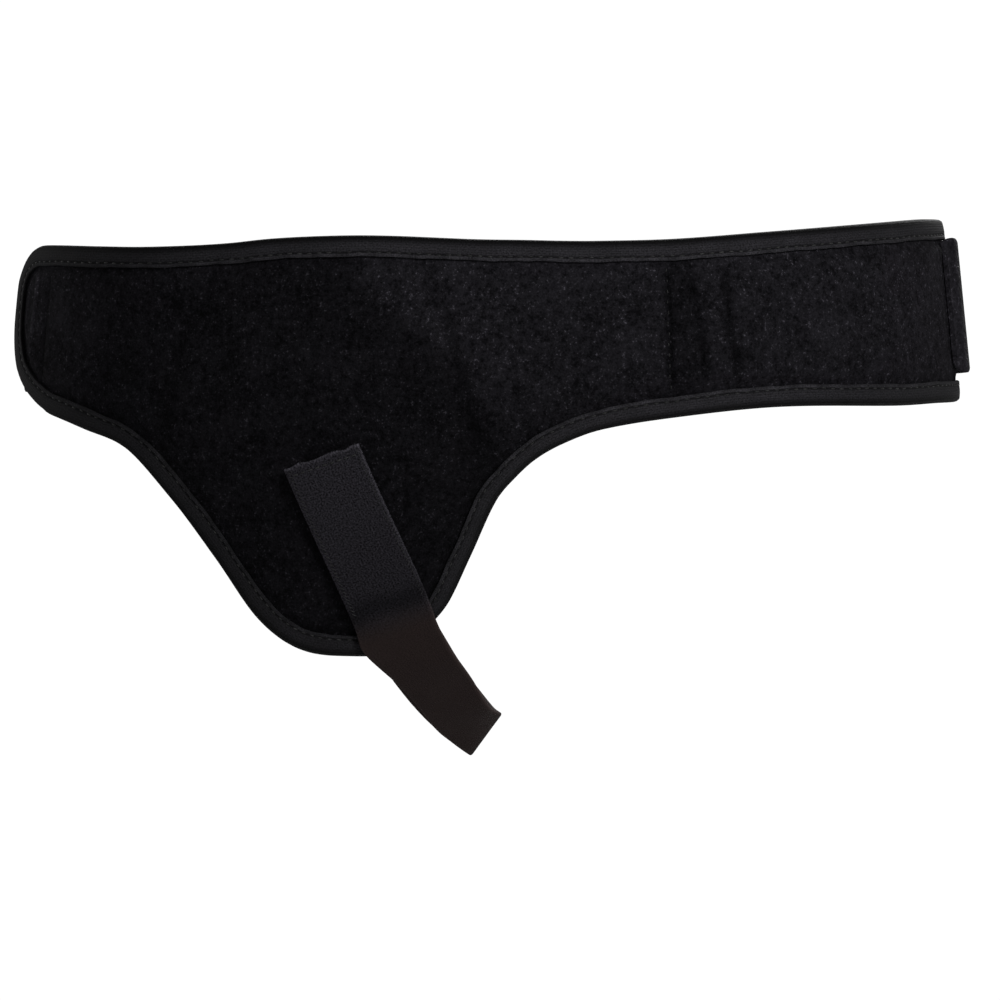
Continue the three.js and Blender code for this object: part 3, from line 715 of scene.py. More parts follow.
def woven_tape(name, weave, dark, light, rib_pitch, weft_pitch, specular):
    """Woven tape: ribs along it, a fine weft across and slow changes of shade. Its tops are lighter than the
    hollows between them, a painted shade mixed with random yarn tone.
    """
    material, nodes, links, _ = new_material(name, TAPE_ROUGHNESS, specular, TAPE_SHEEN)
    tree = material.node_tree
    effect = place_group(nodes, links, weave, cloth_place(nodes), Rib_pitch=rib_pitch,
                         Weft_pitch=weft_pitch, Yarn=TAPE_YARN)
    patches = noise_node(tree, object_place(nodes), TAPE_PATCHES, 3.0)
    share = math_node(tree, "MULTIPLY", effect["Tops"], spread_node(tree, patches, *TAPE_PATCH_SPREAD))
    base = colour_mix(tree, share, grey(dark, MAUVE), grey(light, MAUVE))
    return finished(material, base, effect["Height"], WEAVE_BUMP)


def elastic_webbing_material(name, weave):
    """Elastic webbing: grey and grainy where it lies slack, smoother and browner where it is stretched."""
    material, nodes, links, _ = new_material(name, *ELASTIC_FINISH)
    tree = material.node_tree
    effect = place_group(nodes, links, weave, cloth_place(nodes), Rib_pitch=ELASTIC_RIB_PITCH,
                         Weft_pitch=ELASTIC_WEFT_PITCH, Yarn=ELASTIC_YARN)
    # Each between dark and light by the weave's tops: painted shade in the hollows between ribs, mixed with
    # random yarn tone
    slack = colour_mix(tree, effect["Tops"], grey(SLACK_DARK, COOL), grey(SLACK_LIGHT, COOL))
    drawn = colour_mix(tree, effect["Tops"], grey(DRAWN_DARK, WARM), grey(DRAWN_LIGHT, WARM))
    base = colour_mix(tree, field_value(nodes, STRETCH), slack, drawn)
    return finished(material, base, effect["Height"], WEAVE_BUMP)


def thread(name, level):
    """Twisted sewing thread, worn darker in slow patches."""
    material, nodes, _, _ = new_material(name, *THREAD_FINISH)
    tree = material.node_tree
    twist = noise_node(tree, object_place(nodes), THREAD_TWIST, 3.0)
    worn = spread_node(tree, noise_node(tree, object_place(nodes), THREAD_WEAR, 2.0), *THREAD_WEAR_SPREAD)
    shade = math_node(tree, "MULTIPLY", spread_node(tree, twist, *THREAD_TWIST_SPREAD), worn)
    base = colour_mix(tree, shade, grey(level * THREAD_DARK_SHARE), grey(level))
    return finished(material, base, twist, THREAD_BUMP)


def hook_plastic(name):
    """Moulded hooks in close rows, lighter on their tops, with painted shade between them."""
    material, nodes, links, shader = new_material(name, *HOOK_FINISH)
    tree = material.node_tree
    cells = nodes.new("ShaderNodeTexVoronoi")
    cells.inputs["Scale"].default_value = HOOKS_PER_METRE
    cells.inputs["Randomness"].default_value = HOOK_SCATTER
    links.new(object_place(nodes), cells.inputs["Vector"])
    tops = spread_node(tree, cells.outputs["Distance"], *HOOK_SPREAD)
    links.new(colour_mix(tree, tops, grey(HOOK_DARK), grey(HOOK_LIGHT)), shader.inputs["Base Color"])
    bump(nodes, links, shader, tops, HOOK_BUMP)
    return material


nap_group = build_nap_group()
weave_group = build_weave_group()
panel_cloth = loop_cloth("panel_loop_cloth", nap_group, 0.0028, 0.0140, 0.045)
strap_cloth = loop_cloth("strap_loop_cloth", nap_group, 0.0040, 0.014, 0.04)
pad_knit = woven_tape("pad_knit", weave_group, 0.0015, 0.0155, 0.0018, 0.0009, 0.04)
binding_weave = woven_tape("binding_ribbed_tape", weave_group, 0.0025, 0.0245, 0.0009, 0.0006, 0.06)
webbing_weave = elastic_webbing_material("elastic_webbing", weave_group)
sewing_thread = thread("sewing_thread", 0.024)
edging_thread = thread("webbing_edging_thread", 0.02)
hook_tape = hook_plastic("hook_tape_plastic")

# Front panel cloth
COLUMN_STEP = 0.003
CORNER_COLUMNS = 14
EDGE_ROWS = (0.0, 0.003, 0.006, 0.0072, 0.008, 0.0088, 0.0096, 0.0105, 0.012)
FIELD_ROWS = 34
DISTANCE_STEPS = 6
STITCH_PITCH = 0.0037
PUCKER_DEPTH = 0.00018
PUCKER_REACH = 0.006
RIPPLE_DEPTH = 0.00035
CREASE_WAVER = 0.0012
PATCH_SHADE = 0.12


def corner_places(tip, inward, radius):
    angle = np.linspace(0, math.pi / 2, CORNER_COLUMNS, endpoint=False)
    return tip + inward * radius * (1 - np.cos(angle))


def edge_stretch(edge, run):
    ahead = np.minimum(run + NORMAL_STEP, PANEL_END)
    behind = np.maximum(run - NORMAL_STEP, PANEL_START)
    return np.hypot(1, (edge(ahead) - edge(behind)) / (ahead - behind))


def panel_runs():
    """Columns of the panel: close in the rounded ends and at the seams, even along the lower edge."""
    fine = np.arange(PANEL_START + RIGHT_END_BOTTOM_RADIUS, PANEL_END - LEFT_END_RADIUS, NORMAL_STEP)
    walked = np.cumsum(NORMAL_STEP * edge_stretch(lower_edge_line, fine))
    even = np.interp(np.arange(0, walked[-1], COLUMN_STEP), walked, fine)
    seams = np.concatenate([
        SIDE_RUN * (around + lean / 2) + np.array([-0.75, -0.35, 0, 0.35, 0.75]) * half
        for around, lean, _, half, _ in PANEL_DENTS])
    even = even[np.abs(even[:, None] - seams).min(1) > COLUMN_STEP / 4]
    ends = [PANEL_START + from_tip + np.array([-0.5, 0, 0.5]) * half for from_tip, _, half, _ in END_LINES]
    return np.sort(np.concatenate([
        corner_places(PANEL_START, 1, RIGHT_END_BOTTOM_RADIUS), *ends, even, seams,
        corner_places(PANEL_END, -1, LEFT_END_RADIUS)]))


def rise_inside(edge, inward, runs, distance):
    """Rises of the places that lie a distance inside the panel's outline, one for each column."""
    rise = edge(runs)
    for _ in range(DISTANCE_STEPS):
        rise = rise + inward * (distance - from_edge(runs, rise)) * edge_stretch(edge, runs)
    return rise


def panel_rises(runs):
    """Rises of the panel's rows: at fixed distances from both edges, and even between them."""
    top = panel_top(runs)
    bottom = panel_bottom(runs)
    rows = 2 * len(EDGE_ROWS) + FIELD_ROWS
    lower = [bottom]
    upper = [top]
    for k, distance in enumerate(EDGE_ROWS[1:], 1):
        share = k / (rows - 1)
        lower.append(np.minimum(mix(bottom, top, share), rise_inside(panel_bottom, 1, runs, distance)))
        upper.append(np.maximum(mix(top, bottom, share), rise_inside(panel_top, -1, runs, distance)))
    field = [mix(lower[-1], upper[-1], k / (FIELD_ROWS + 1)) for k in range(1, FIELD_ROWS + 1)]
    return np.stack(lower + field + upper[::-1], -1)


def nearness(distance, half):
    """1 on a line, 0 from half a width away."""
    return 1 - ease(np.abs(distance) / half)


def line_run(line, rise):
    """Where a line of (rise, share of the way to the side) lies at each rise."""
    rises = np.array([point[0] for point in line])
    shares = np.array([point[1] for point in line])
    return SIDE_RUN * np.interp(-rise, -rises, shares)


def marks_on_panel(run, rise):
    """Sewn lines, creases and pad edges: how near a place is, their height and their change of tone, mostly
    painted shade in the creases and grooves.
    """
    up = (rise - panel_bottom(run)) / (panel_top(run) - panel_bottom(run))
    field = ease((from_edge(run, rise) - RIM_WIDTH) / (EDGE_CUP_WIDTH - RIM_WIDTH))
    marks = []
    for number, (around, lean, depth, half, shade) in enumerate(PANEL_DENTS):
        waver = CREASE_WAVER * wave(rise, 0.045, number * 2.1) * (number > 0)
        middle = SIDE_RUN * (around + lean * (1 - up)) + waver
        marks.append((nearness(run - middle, half) * field, -depth, -shade))
    for line in PAD_EDGE_LINES:
        fade = (ease((line[0][0] - rise) / PAD_LINE_FADE + 0.5)
                * ease((rise - line[-1][0]) / PAD_LINE_FADE + 0.5))
        near = nearness(run - line_run(line, rise), PAD_LINE_HALF) * fade * field
        marks.append((near, -PAD_LINE_DEPTH, -PAD_LINE_PAINTED_SHADE))
    for from_tip, height, half, change in END_LINES:
        marks.append((nearness(run - PANEL_START - from_tip, half) * field, height, change))
    return marks, field


def panel_relief(run, rise):
    """What the outer face of the cloth gains or loses: sewn lines, creases, puckers and slow ripples."""
    marks, field = marks_on_panel(run, rise)
    relief = sum(near * height for near, height, _ in marks)
    inside = from_edge(run, rise) - RIM_WIDTH
    stitch_band = ease(inside / RIM_BEVEL) * (1 - ease((inside - RIM_BEVEL) / PUCKER_REACH))
    puckers = PUCKER_DEPTH * wave(run, STITCH_PITCH * 3.1) * stitch_band
    ripples = RIPPLE_DEPTH * wave(run + 0.4 * rise, 0.052, 1.7) * wave(rise - 0.3 * run, 0.07, 0.6)
    return relief + puckers + ripples * field


def panel_tone(run, rise):
    """How dark the cloth is: painted shade in creases and grooves, beside the seam, over the pad's side and
    towards the bottom, and slow patches.
    """
    marks, _ = marks_on_panel(run, rise)
    tone = 1 + PATCH_SHADE * wave(run + 0.7 * rise, 0.061, 0.4) * wave(rise - 0.5 * run, 0.043, 2.0)
    for near, _, change in marks:
        tone = tone * (1 + change * near)
    # Painted shade in the valley just past the seam
    past_seam = run - SEAM_AROUND * SIDE_RUN
    valley = (past_seam > 0) * (1 - ease(past_seam / VALLEY_WIDTH - 0.5))
    # Painted shade over the pad's side of its edge line, fading out near the right-hip end
    turned = 1 - ease((run - line_run(PAD_SIDE_SHADE_EDGE, rise)) / PAD_SIDE_SHADE_SOFTNESS + 0.5)
    turned = turned * ease((run - PANEL_START - PAD_SIDE_SHADE_START) / PAD_SIDE_SHADE_FADE)
    # Painted shade, darker towards the panel's bottom edge
    up = (rise - panel_bottom(run)) / (panel_top(run) - panel_bottom(run))
    low_shade = mix(LOWER_PAINTED_SHADE_MIDDLE, LOWER_PAINTED_SHADE_SIDE, ease(run / (SIDE_RUN * SEAM_AROUND))) * (1 - up)
    return tone * (1 - VALLEY_PAINTED_SHADE * valley) * (1 - PAD_SIDE_PAINTED_SHADE * turned) * (1 - low_shade)


def front_panel_cloth():
    runs = panel_runs()
    rise = panel_rises(runs)
    run = np.repeat(runs[:, None], rise.shape[1], 1)
    outer = layer_point(run, rise, panel_outer(run, rise) + panel_relief(run, rise))
    inner = layer_point(run, rise, panel_inner(run, rise))
    piece = shell_piece("front_panel_cloth", outer, inner, np.stack([run, rise], -1), panel_cloth,
                        tone=panel_tone(run, rise))
    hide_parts("front_panel")
    area = float(np.sum(np.diff(runs) * (panel_top(runs) - panel_bottom(runs))[:-1]))
    return piece, run, rise, area


# Edge binding
LOOP_STEP = 0.002
BINDING_WAVER = 0.00025
BINDING_EDGE_ROUND = 0.0004
GROOVE_DEPTH = 0.0004
GROOVE_HALF = 0.0004
LIP_SLOPE = 0.0002
LIP_WIDTH = 0.0005
LINING_GAP = 0.0001
STITCH_FROM_LEG_EDGE = 0.0016
LIP_LUMPS = 0.4
LIP_LUMP_LENGTH = 0.012

# The tape carries painted shade: palest near the front middle, at a share of the way to the side, and darker
# at both hips and round the lobe, where it turns away from the light
BRIGHTEST_BINDING = 0.15
BINDING_SHADE_START = 0.15
BINDING_SHADE_LENGTH = 0.9
BINDING_HIP_PAINTED_SHADE = 0.75
BINDING_LOBE_PAINTED_SHADE = 0.5


def resampled(points, step):
    """Places along a closed line of places, an even step apart, with the length walked at each."""
    line = np.concatenate([points, points[:1]])
    walked = np.concatenate([[0], np.cumsum(np.linalg.norm(np.diff(line, axis=0), axis=1))])
    places = np.linspace(0, walked[-1], round(walked[-1] / step), endpoint=False)
    return np.stack([np.interp(places, walked, line[:, k]) for k in range(2)], -1), places, walked[-1]


def panel_edge_loop(run, rise):
    """The panel's edge: along the bottom, up the left-hip end, back along the top and down the other end."""
    places = np.stack([run, rise], -1)
    loop = np.concatenate([places[:, 0], places[-1, 1:-1], places[::-1, -1], places[0, -2:0:-1]])
    return resampled(loop, LOOP_STEP)


def inward_of(loop):
    """Unit direction to the inside at each place of the loop."""
    along = np.roll(loop, -1, 0) - np.roll(loop, 1, 0)
    return unit(np.stack([-along[:, 1], along[:, 0]], -1))


def binding_profile():
    """Section of the folded strip: distance in from the panel's edge, height off its middle, and tone, which
    holds painted shade on the fold, in the stitch groove and on the lining.
    """
    gap = RIM_THICKNESS / 2 + LINING_GAP
    face = RIM_THICKNESS / 2 + BINDING_SEAT + BINDING_THICKNESS
    leg = BINDING_LEG
    fold = BINDING_FOLD
    groove = leg - STITCH_FROM_LEG_EDGE
    front = [
        (leg, face - BINDING_EDGE_ROUND, 0.6), (leg - LIP_SLOPE, face - 0.0001, 1.3),
        (leg - LIP_WIDTH, face, 1.5), (groove + GROOVE_HALF, face, 1.25),
        (groove, face - GROOVE_DEPTH, 0.25), (groove - 0.0005, face, 1.0),
        (leg * 0.5, face + 0.00012, 1.1), (leg * 0.28, face + 0.0001, 1.05), (leg * 0.08, face, 0.4),
        (-fold * 0.3, face * 0.93, 0.1), (-fold * 0.82, face * 0.58, 0.04), (-fold, face * 0.18, 0.04)]
    back = [(inward, -height, tone) for inward, height, tone in front[::-1]]
    lining = [(leg - LIP_SLOPE, -gap, 0.5), (-BINDING_SEAT * 0.4, -gap, 0.5),
              (-BINDING_SEAT * 0.4, gap, 0.5), (leg - LIP_SLOPE, gap, 0.5)]
    return np.array(front + back + lining)


def binding_painted_shade(run, rise):
    """Painted shade of the tape and its stitches at a place on the edge."""
    from_palest = np.abs(run / SIDE_RUN - BRIGHTEST_BINDING) - BINDING_SHADE_START
    hips = 1 - BINDING_HIP_PAINTED_SHADE * ease(from_palest / BINDING_SHADE_LENGTH)
    return hips * (1 - BINDING_LOBE_PAINTED_SHADE * ease(-rise / (0.8 * LOBE_DROP)))


def edge_binding_tape(loop, places):
    """A folded strip round the panel's rim, with soft turned edges."""
    profile = binding_profile()
    inward = profile[:, 0][None, :]
    waver = BINDING_WAVER * wave(places, 0.031)[:, None] * ease(inward / BINDING_LEG)
    direction = inward_of(loop)
    run = loop[:, :1] + direction[:, :1] * (inward + waver)
    rise = loop[:, 1:] + direction[:, 1:] * (inward + waver)
    sections = layer_point(run, rise, panel_middle(run, rise) + profile[:, 1][None, :])
    lengths = np.concatenate([[0], np.cumsum(np.linalg.norm(np.diff(profile[:, :2], axis=0), axis=1))])
    uv = np.stack(np.broadcast_arrays(places[:, None], lengths[None, :]), -1)
    lip = inward > BINDING_LEG - STITCH_FROM_LEG_EDGE
    lumps = 1 + LIP_LUMPS * wave(places, LIP_LUMP_LENGTH)[:, None] * lip
    # Painted shade of the section, of the hips and of the lobe, with lumps of tone along the lip
    tone = profile[None, :, 2] * lumps * binding_painted_shade(loop[:, :1], loop[:, 1:])
    piece = ring_piece("edge_binding_tape", sections, uv, binding_weave, tone)
    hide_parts("edge_binding")
    return piece


# Sewing thread
STITCH_LENGTH = 0.0019
STITCH_HALF_WIDTH = 0.0003
STITCH_FLATNESS = 0.8
STITCH_SIDES = 6
SEAM_STITCH_MARGIN = 0.010
SEAM_WANDER = 0.0004
SEAM_STITCH_LENGTH = 0.0013
SEAM_STITCH_HALF_WIDTH = 0.00022
STITCH_SHARES = (0.0, 0.18, 0.5, 0.82, 1.0)
STITCH_FULLNESS = (0.35, 0.85, 1.0, 0.85, 0.35)


def stitch_row(name, middles, along, outward, material, length=STITCH_LENGTH,
               half_width=STITCH_HALF_WIDTH, tone=1.0):
    """Thread showing between its holes: one short plump stitch at each middle, in one mesh."""
    along = unit(along)
    side = unit(np.cross(outward, along))
    angle = np.linspace(0, 2 * math.pi, STITCH_SIDES, endpoint=False)
    half_height = half_width * STITCH_FLATNESS
    rings = []
    for share, fullness in zip(STITCH_SHARES, STITCH_FULLNESS):
        bow = outward * half_height * (1 - (2 * share - 1) ** 2)
        centre = middles + along * (share - 0.5) * length + bow
        rings.append(centre[:, None] + side[:, None] * (np.cos(angle) * half_width * fullness)[None, :, None]
                     + outward[:, None] * (np.sin(angle) * half_height * fullness)[None, :, None])
    points = np.stack(rings, 1)
    size = len(STITCH_SHARES) * STITCH_SIDES
    index = np.arange(size).reshape(len(STITCH_SHARES), STITCH_SIDES)
    walls = np.stack([index[:-1], np.roll(index[:-1], -1, 1), np.roll(index[1:], -1, 1), index[1:]], -1)
    faces = [tuple(quad) for quad in walls.reshape(-1, 4)]
    faces += [tuple(index[0, ::-1]), tuple(index[-1])]
    every = [[int(corner) + size * k for corner in face] for k in range(len(middles)) for face in faces]
    mesh = bpy.data.meshes.new(name)
    mesh.from_pydata(points.reshape(-1, 3).tolist(), [], every)
    mesh.polygons.foreach_set("use_smooth", [True] * len(mesh.polygons))
    tones = np.repeat(np.broadcast_to(tone, len(middles)), size)
    mesh.attributes.new(TONE, "FLOAT", "POINT").data.foreach_set("value", tones.astype(np.float32))
    piece = ridden(name, mesh, material)
    return piece


def outward_at(run, rise):
    return unit(layer_point(run, rise, NORMAL_STEP) - layer_point(run, rise, 0 * run))


def binding_stitches(name, loop, length, side):
    """The row that sews the binding down, on the outer or the inner leg."""
    direction = inward_of(loop)
    places = np.linspace(0, length, len(loop), endpoint=False)
    at = np.linspace(0, length, round(length / STITCH_PITCH), endpoint=False)

    def place(where):
        inset = BINDING_LEG - STITCH_FROM_LEG_EDGE + BINDING_WAVER * wave(where, 0.023, 1.0)
        run = np.interp(where, places, loop[:, 0]) + np.interp(where, places, direction[:, 0]) * inset
        rise = np.interp(where, places, loop[:, 1]) + np.interp(where, places, direction[:, 1]) * inset
        face = RIM_THICKNESS / 2 + BINDING_SEAT + BINDING_THICKNESS - GROOVE_DEPTH
        height = panel_middle(run, rise) + side * face
        return layer_point(run, rise, height), outward_at(run, rise) * side, binding_painted_shade(run, rise)

    # The stitches take the tape's painted shade
    middle, outward, shade = place(at)
    ahead, _, _ = place(at + NORMAL_STEP)
    return stitch_row(name, middle, ahead - middle, outward, sewing_thread, tone=shade)


def seam_stitches():
    """The row down the seam across the panel, each stitch a little off the line."""
    foot = float(panel_bottom(SEAM_AROUND * SIDE_RUN)) + SEAM_STITCH_MARGIN
    head = float(panel_top(SEAM_AROUND * SIDE_RUN)) - SEAM_STITCH_MARGIN
    rise = even_places(foot, head, STITCH_PITCH)
    run = SEAM_AROUND * SIDE_RUN + SEAM_WANDER * wave(rise, 0.009, 0.8)
    middle = layer_point(run, rise, panel_outer(run, rise) + panel_relief(run, rise))
    ahead = layer_point(run, rise + NORMAL_STEP, panel_outer(run, rise) + panel_relief(run, rise))
    return stitch_row("seam_stitches", middle, ahead - middle, outward_at(run, rise),
                      sewing_thread, SEAM_STITCH_LENGTH, SEAM_STITCH_HALF_WIDTH)


# Groin pad
PAD_COLUMNS = 61
PAD_ROWS = 71
PAD_EDGE_ROUND = 0.003
PAD_QUILT = 0.0004
PAD_RIM_PAINTED_SHADE = 0.55
PAD_PINCH = 0.45


def groin_pad_cushion():
    """Crowned foam pad in knitted cover, with a pinched rim darkened by painted shade."""
    share_run = np.linspace(0, 1, PAD_COLUMNS)
    share_rise = np.linspace(0, 1, PAD_ROWS)
    run = np.repeat(mix(PAD_START, PAD_END, share_run)[:, None], PAD_ROWS, 1)
    rise = mix(pad_bottom(run), pad_top(run), share_rise[None, :])
    seat = panel_inner(run, rise) - PAD_SEAT
    thickness = mix(PAD_RIM_THICKNESS, PAD_THICKNESS, pad_lift(run, rise))
    from_rim = np.minimum(np.minimum(run - PAD_START, PAD_END - run),
                          np.minimum(pad_top(run) - rise, rise - pad_bottom(run)))
    pinch = 1 - np.clip(from_rim / PAD_EDGE_ROUND, 0, 1)
    thickness = thickness * (1 - PAD_PINCH * pinch ** 2)
    thickness = thickness + PAD_QUILT * wave(run, 0.03) * wave(rise, 0.034, 0.7) * (1 - pinch)
    outer = layer_point(run, rise, seat)
    inner = layer_point(run, rise, seat - thickness)
    # Painted shade on the pinched rim, and slow patches
    patches = 1 + PATCH_SHADE * wave(run, 0.04) * wave(rise, 0.05)
    piece = shell_piece("groin_pad_cushion", outer, inner, np.stack([run, rise], -1), pad_knit,
                        tone=(1 - PAD_RIM_PAINTED_SHADE * pinch) * patches)
    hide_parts("groin_pad")
    return piece


# Back strap
STRAP_STEP = 0.003
STRAP_ROWS = np.array([0, 0.004, 0.012, 0.03, 0.06, 0.12, 0.22, 0.34, 0.5, 0.66, 0.78, 0.88, 0.94, 0.97,
                       0.988, 0.996, 1.0])
STRAP_EDGE_ROUND = 0.0015
STRAP_EDGE_SHARE = 0.45
STRAP_END_SHARE = 0.75
STRAP_END_SEAT = 0.0001
# Pale bands at the strap's ends, a painted highlight on their edges, and along its selvedges
STRAP_PALE_BAND_WIDTH = 0.0016
STRAP_END_HIGHLIGHT = 0.25
STRAP_SELVEDGE_PALENESS = 0.2
STRAP_STITCH_IN = 0.0065


def strap_thickness(share, width, thickness):
    """Thickness across a strap whose long edges are rounded."""
    from_side = np.minimum(share, 1 - share) * width
    left = 1 - np.clip(from_side / STRAP_EDGE_ROUND, 0, 1)
    return thickness * mix(1.0, STRAP_EDGE_SHARE, left ** 2)


def back_strap_middle(run):
    share = (run - BACK_STRAP_END) / (BACK_STRAP_FAR - BACK_STRAP_END)
    return mix(BACK_STRAP_LEFT_MIDDLE, BACK_STRAP_RIGHT_MIDDLE, np.clip(share, 0, 1))


def back_strap_height(run, rise):
    """Height of the strap's inner face: over the panel's left-hip end, its own end resting on the cloth."""
    over_panel = ease((BINDING_TIP + 2 * SEAT + BACK_STRAP_RAMP - run) / BACK_STRAP_RAMP)
    near_end = 1 - ease((run - BACK_STRAP_END) / HOOK_TAPE_MARGIN)
    on_panel = np.minimum(run, BACK_STRAP_END + HOOK_TAPE_MARGIN)
    resting = panel_outer(on_panel, rise) + panel_relief(on_panel, rise) + STRAP_END_SEAT
    return mix(OVER_PANEL_END * over_panel, resting, near_end)


def back_strap_tone(run, share):
    """Paler at the sewn ends, a painted highlight on their edges, and along the selvedges, with slow patches
    between.
    """
    end = nearness(run - BACK_STRAP_END, STRAP_PALE_BAND_WIDTH) + nearness(run - BACK_STRAP_FAR, STRAP_PALE_BAND_WIDTH)
    selvedge = nearness(np.minimum(share, 1 - share) * BACK_STRAP_WIDTH, STRAP_PALE_BAND_WIDTH)
    patches = PATCH_SHADE * wave(run, 0.083, 0.9) * wave(share, 0.9, 0.3)
    return 1 + STRAP_END_HIGHLIGHT * end + STRAP_SELVEDGE_PALENESS * selvedge + patches


def back_strap_webbing():
    radius = BACK_STRAP_END_RADIUS
    runs = np.concatenate([
        corner_places(BACK_STRAP_END, 1, radius),
        even_places(BACK_STRAP_END + radius, BACK_STRAP_FAR - radius, STRAP_STEP),
        corner_places(BACK_STRAP_FAR, -1, radius)[::-1]])
    draw = rounded_end(runs - BACK_STRAP_END, radius) + rounded_end(BACK_STRAP_FAR - runs, radius)
    half = (BACK_STRAP_WIDTH / 2 - draw)[:, None]
    run = np.repeat(runs[:, None], len(STRAP_ROWS), 1)
    rise = back_strap_middle(run) + half * (2 * STRAP_ROWS - 1)
    middle = back_strap_height(run, rise) + BACK_STRAP_THICKNESS / 2
    from_end = np.minimum(run - BACK_STRAP_END, BACK_STRAP_FAR - run)
    thickness = strap_thickness(STRAP_ROWS, BACK_STRAP_WIDTH, BACK_STRAP_THICKNESS)[None, :]
    thickness = thickness * mix(STRAP_END_SHARE, 1.0, ease(from_end / STRAP_EDGE_ROUND))
    outer = layer_point(run, rise, middle + thickness / 2)
    inner = layer_point(run, rise, middle - thickness / 2)
    piece = shell_piece("back_strap_webbing", outer, inner, np.stack([run, rise], -1), strap_cloth,
                        tone=back_strap_tone(run, STRAP_ROWS[None, :]))
    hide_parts("back_strap")
    stitches = [back_strap_stitches("strap_end_stitches_left", BACK_STRAP_END + STRAP_STITCH_IN),
                back_strap_stitches("strap_end_stitches_right", BACK_STRAP_FAR - STRAP_STITCH_IN)]
    return piece


def back_strap_stitches(name, run_at):
    """A row across the strap's outer face that sews its hook tape on."""
    half = BACK_STRAP_WIDTH / 2 - HOOK_TAPE_MARGIN
    rise = back_strap_middle(run_at) + even_places(-half, half, STITCH_PITCH)
    run = np.full(len(rise), run_at)
    height = back_strap_height(run, rise) + BACK_STRAP_THICKNESS
    middle = layer_point(run, rise, height)
    ahead = layer_point(run, rise + NORMAL_STEP, height)
    return stitch_row(name, middle, ahead - middle, outward_at(run, rise), sewing_thread)


# Hook tape at the hips
HOOK_TAPE_STEP = 0.004
HOOK_TAPE_ROWS = 12


def hip_hook_tape(name, node, start, end, height):
    runs = even_places(start, end, HOOK_TAPE_STEP)
    shares = np.linspace(0, 1, HOOK_TAPE_ROWS)
    half = BACK_STRAP_WIDTH / 2 - HOOK_TAPE_MARGIN
    middle = back_strap_middle(np.where(runs < 0, runs + 2 * HALF_LOOP, runs))
    low = np.maximum(middle - half, panel_bottom(runs) + RIM_WIDTH)
    high = np.minimum(middle + half, panel_top(runs) - RIM_WIDTH)
    run = np.repeat(runs[:, None], len(shares), 1)
    rise = mix(low[:, None], high[:, None], shares[None, :])
    outer = layer_point(run, rise, height + HOOK_TAPE_THICKNESS)
    inner = layer_point(run, rise, height + 0 * run)
    piece = shell_piece(name, outer, inner, np.stack([run, rise], -1), hook_tape)
    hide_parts(node)
    return piece


# Groin strap: its two laps and the free route between them
def lap(start, end, under):
    length = math.hypot(end[0] - start[0], end[1] - start[1])
    return {"start": start, "along": ((end[0] - start[0]) / length, (end[1] - start[1]) / length),
            "length": length, "under": under}


FRONT_LAP = lap((-0.262 * SIDE_RUN, -0.41 * LOBE_DROP), (-0.146 * SIDE_RUN, -0.952 * LOBE_DROP), panel_outer)
REAR_LAP = lap((-0.862 * HALF_LOOP, -0.3 * LOBE_DROP), (-0.83 * HALF_LOOP, 0.12 * LOBE_DROP),
               lambda run, rise: BACK_STRAP_THICKNESS + 0 * run)
LAP_STEP = 0.009
STRAP_SHARES = np.array([-0.5, -0.25, 0.0, 0.25, 0.5])
OVER_HOOK_TAPE = LAP_SEAT + HOOK_TAPE_THICKNESS + LAP_SEAT + GROIN_STRAP_THICKNESS / 2
ON_HOOK_TAPE = LAP_SEAT + HOOK_TAPE_THICKNESS / 2
GROIN_STEPS = 260
HOOK_STEPS = 24
HOOK_ACROSS = 9
HOOK_EDGE_ROUND = 0.0006
WEBBING_ROWS = np.array([0, 0.01, 0.03, 0.07, 0.12, 0.2, 0.3, 0.4,
                         0.5, 0.6, 0.7, 0.8, 0.88, 0.93, 0.97, 0.99, 1.0])
WEBBING_EDGE_ROUND = 0.0012
WEBBING_EDGE_SHARE = 0.4
WEBBING_LIFT = 0.00015
RAW_END_LIFT = 0.00025
RAW_END_FADE = 0.006
SEWN_LENGTH = 0.0600
# Painted shadow across the webbing where the sewn hook tape under it ends
STEP_SHADOW_HALF = 0.0075
STEP_SHADOW_STRENGTH = 0.45
STEP_SHADOW_WAVER = 0.0016
# Painted shade, darker down the front lap
LOWER_LAP_PAINTED_SHADE = 0.3
LEFT_SELVEDGE_PALENESS = 0.4
RIGHT_SELVEDGE_PALENESS = 1.2
RAW_END_PALENESS = 1.2
WEBBING_PATCH_SHADE = 0.1
SELVEDGE = 0.0013
RAW_END = 0.0011
RAW_DEPTH = 0.0006
RAW_WAVER = 0.011
STRETCH_START = 0.014
FREE_END_ALONG = 0.385
EDGING_IN = 0.0016
EDGING_PITCH = 0.0016
EDGING_LENGTH = 0.0017
EDGING_HALF_WIDTH = 0.00013
END_STITCH_IN = 0.0027
END_STITCH_PITCH = 0.0026


def lap_stations(place, start, end, width, height):
    walked = even_places(start, end, LAP_STEP)[:, None]
    along_run, along_rise = place["along"]
    across = STRAP_SHARES[None, :] * width
    run = place["start"][0] + along_run * walked - along_rise * across
    rise = place["start"][1] + along_rise * walked + along_run * across
    return layer_point(run, rise, place["under"](run, rise) + height)


def route_stations():
    middles = np.array([
        (HIP_HALF_WIDTH * across, (HIP_FRONT_DEPTH if back < 0 else HIP_BACK_DEPTH) * back, -LOBE_DROP * down)
        for across, back, down, _, _ in GROIN_ROUTE])
    ends = np.concatenate([middles[:1], middles, middles[-1:]])
    along = ends[2:] - ends[:-2]
    facing = np.array([row[3] for row in GROIN_ROUTE])
    spread = np.array([row[4] for row in GROIN_ROUTE])
    across = unit(np.cross(facing, along)) * (spread * GROIN_STRAP_WIDTH)[:, None]
    return middles[:, None] + across[:, None] * STRAP_SHARES[None, :, None]


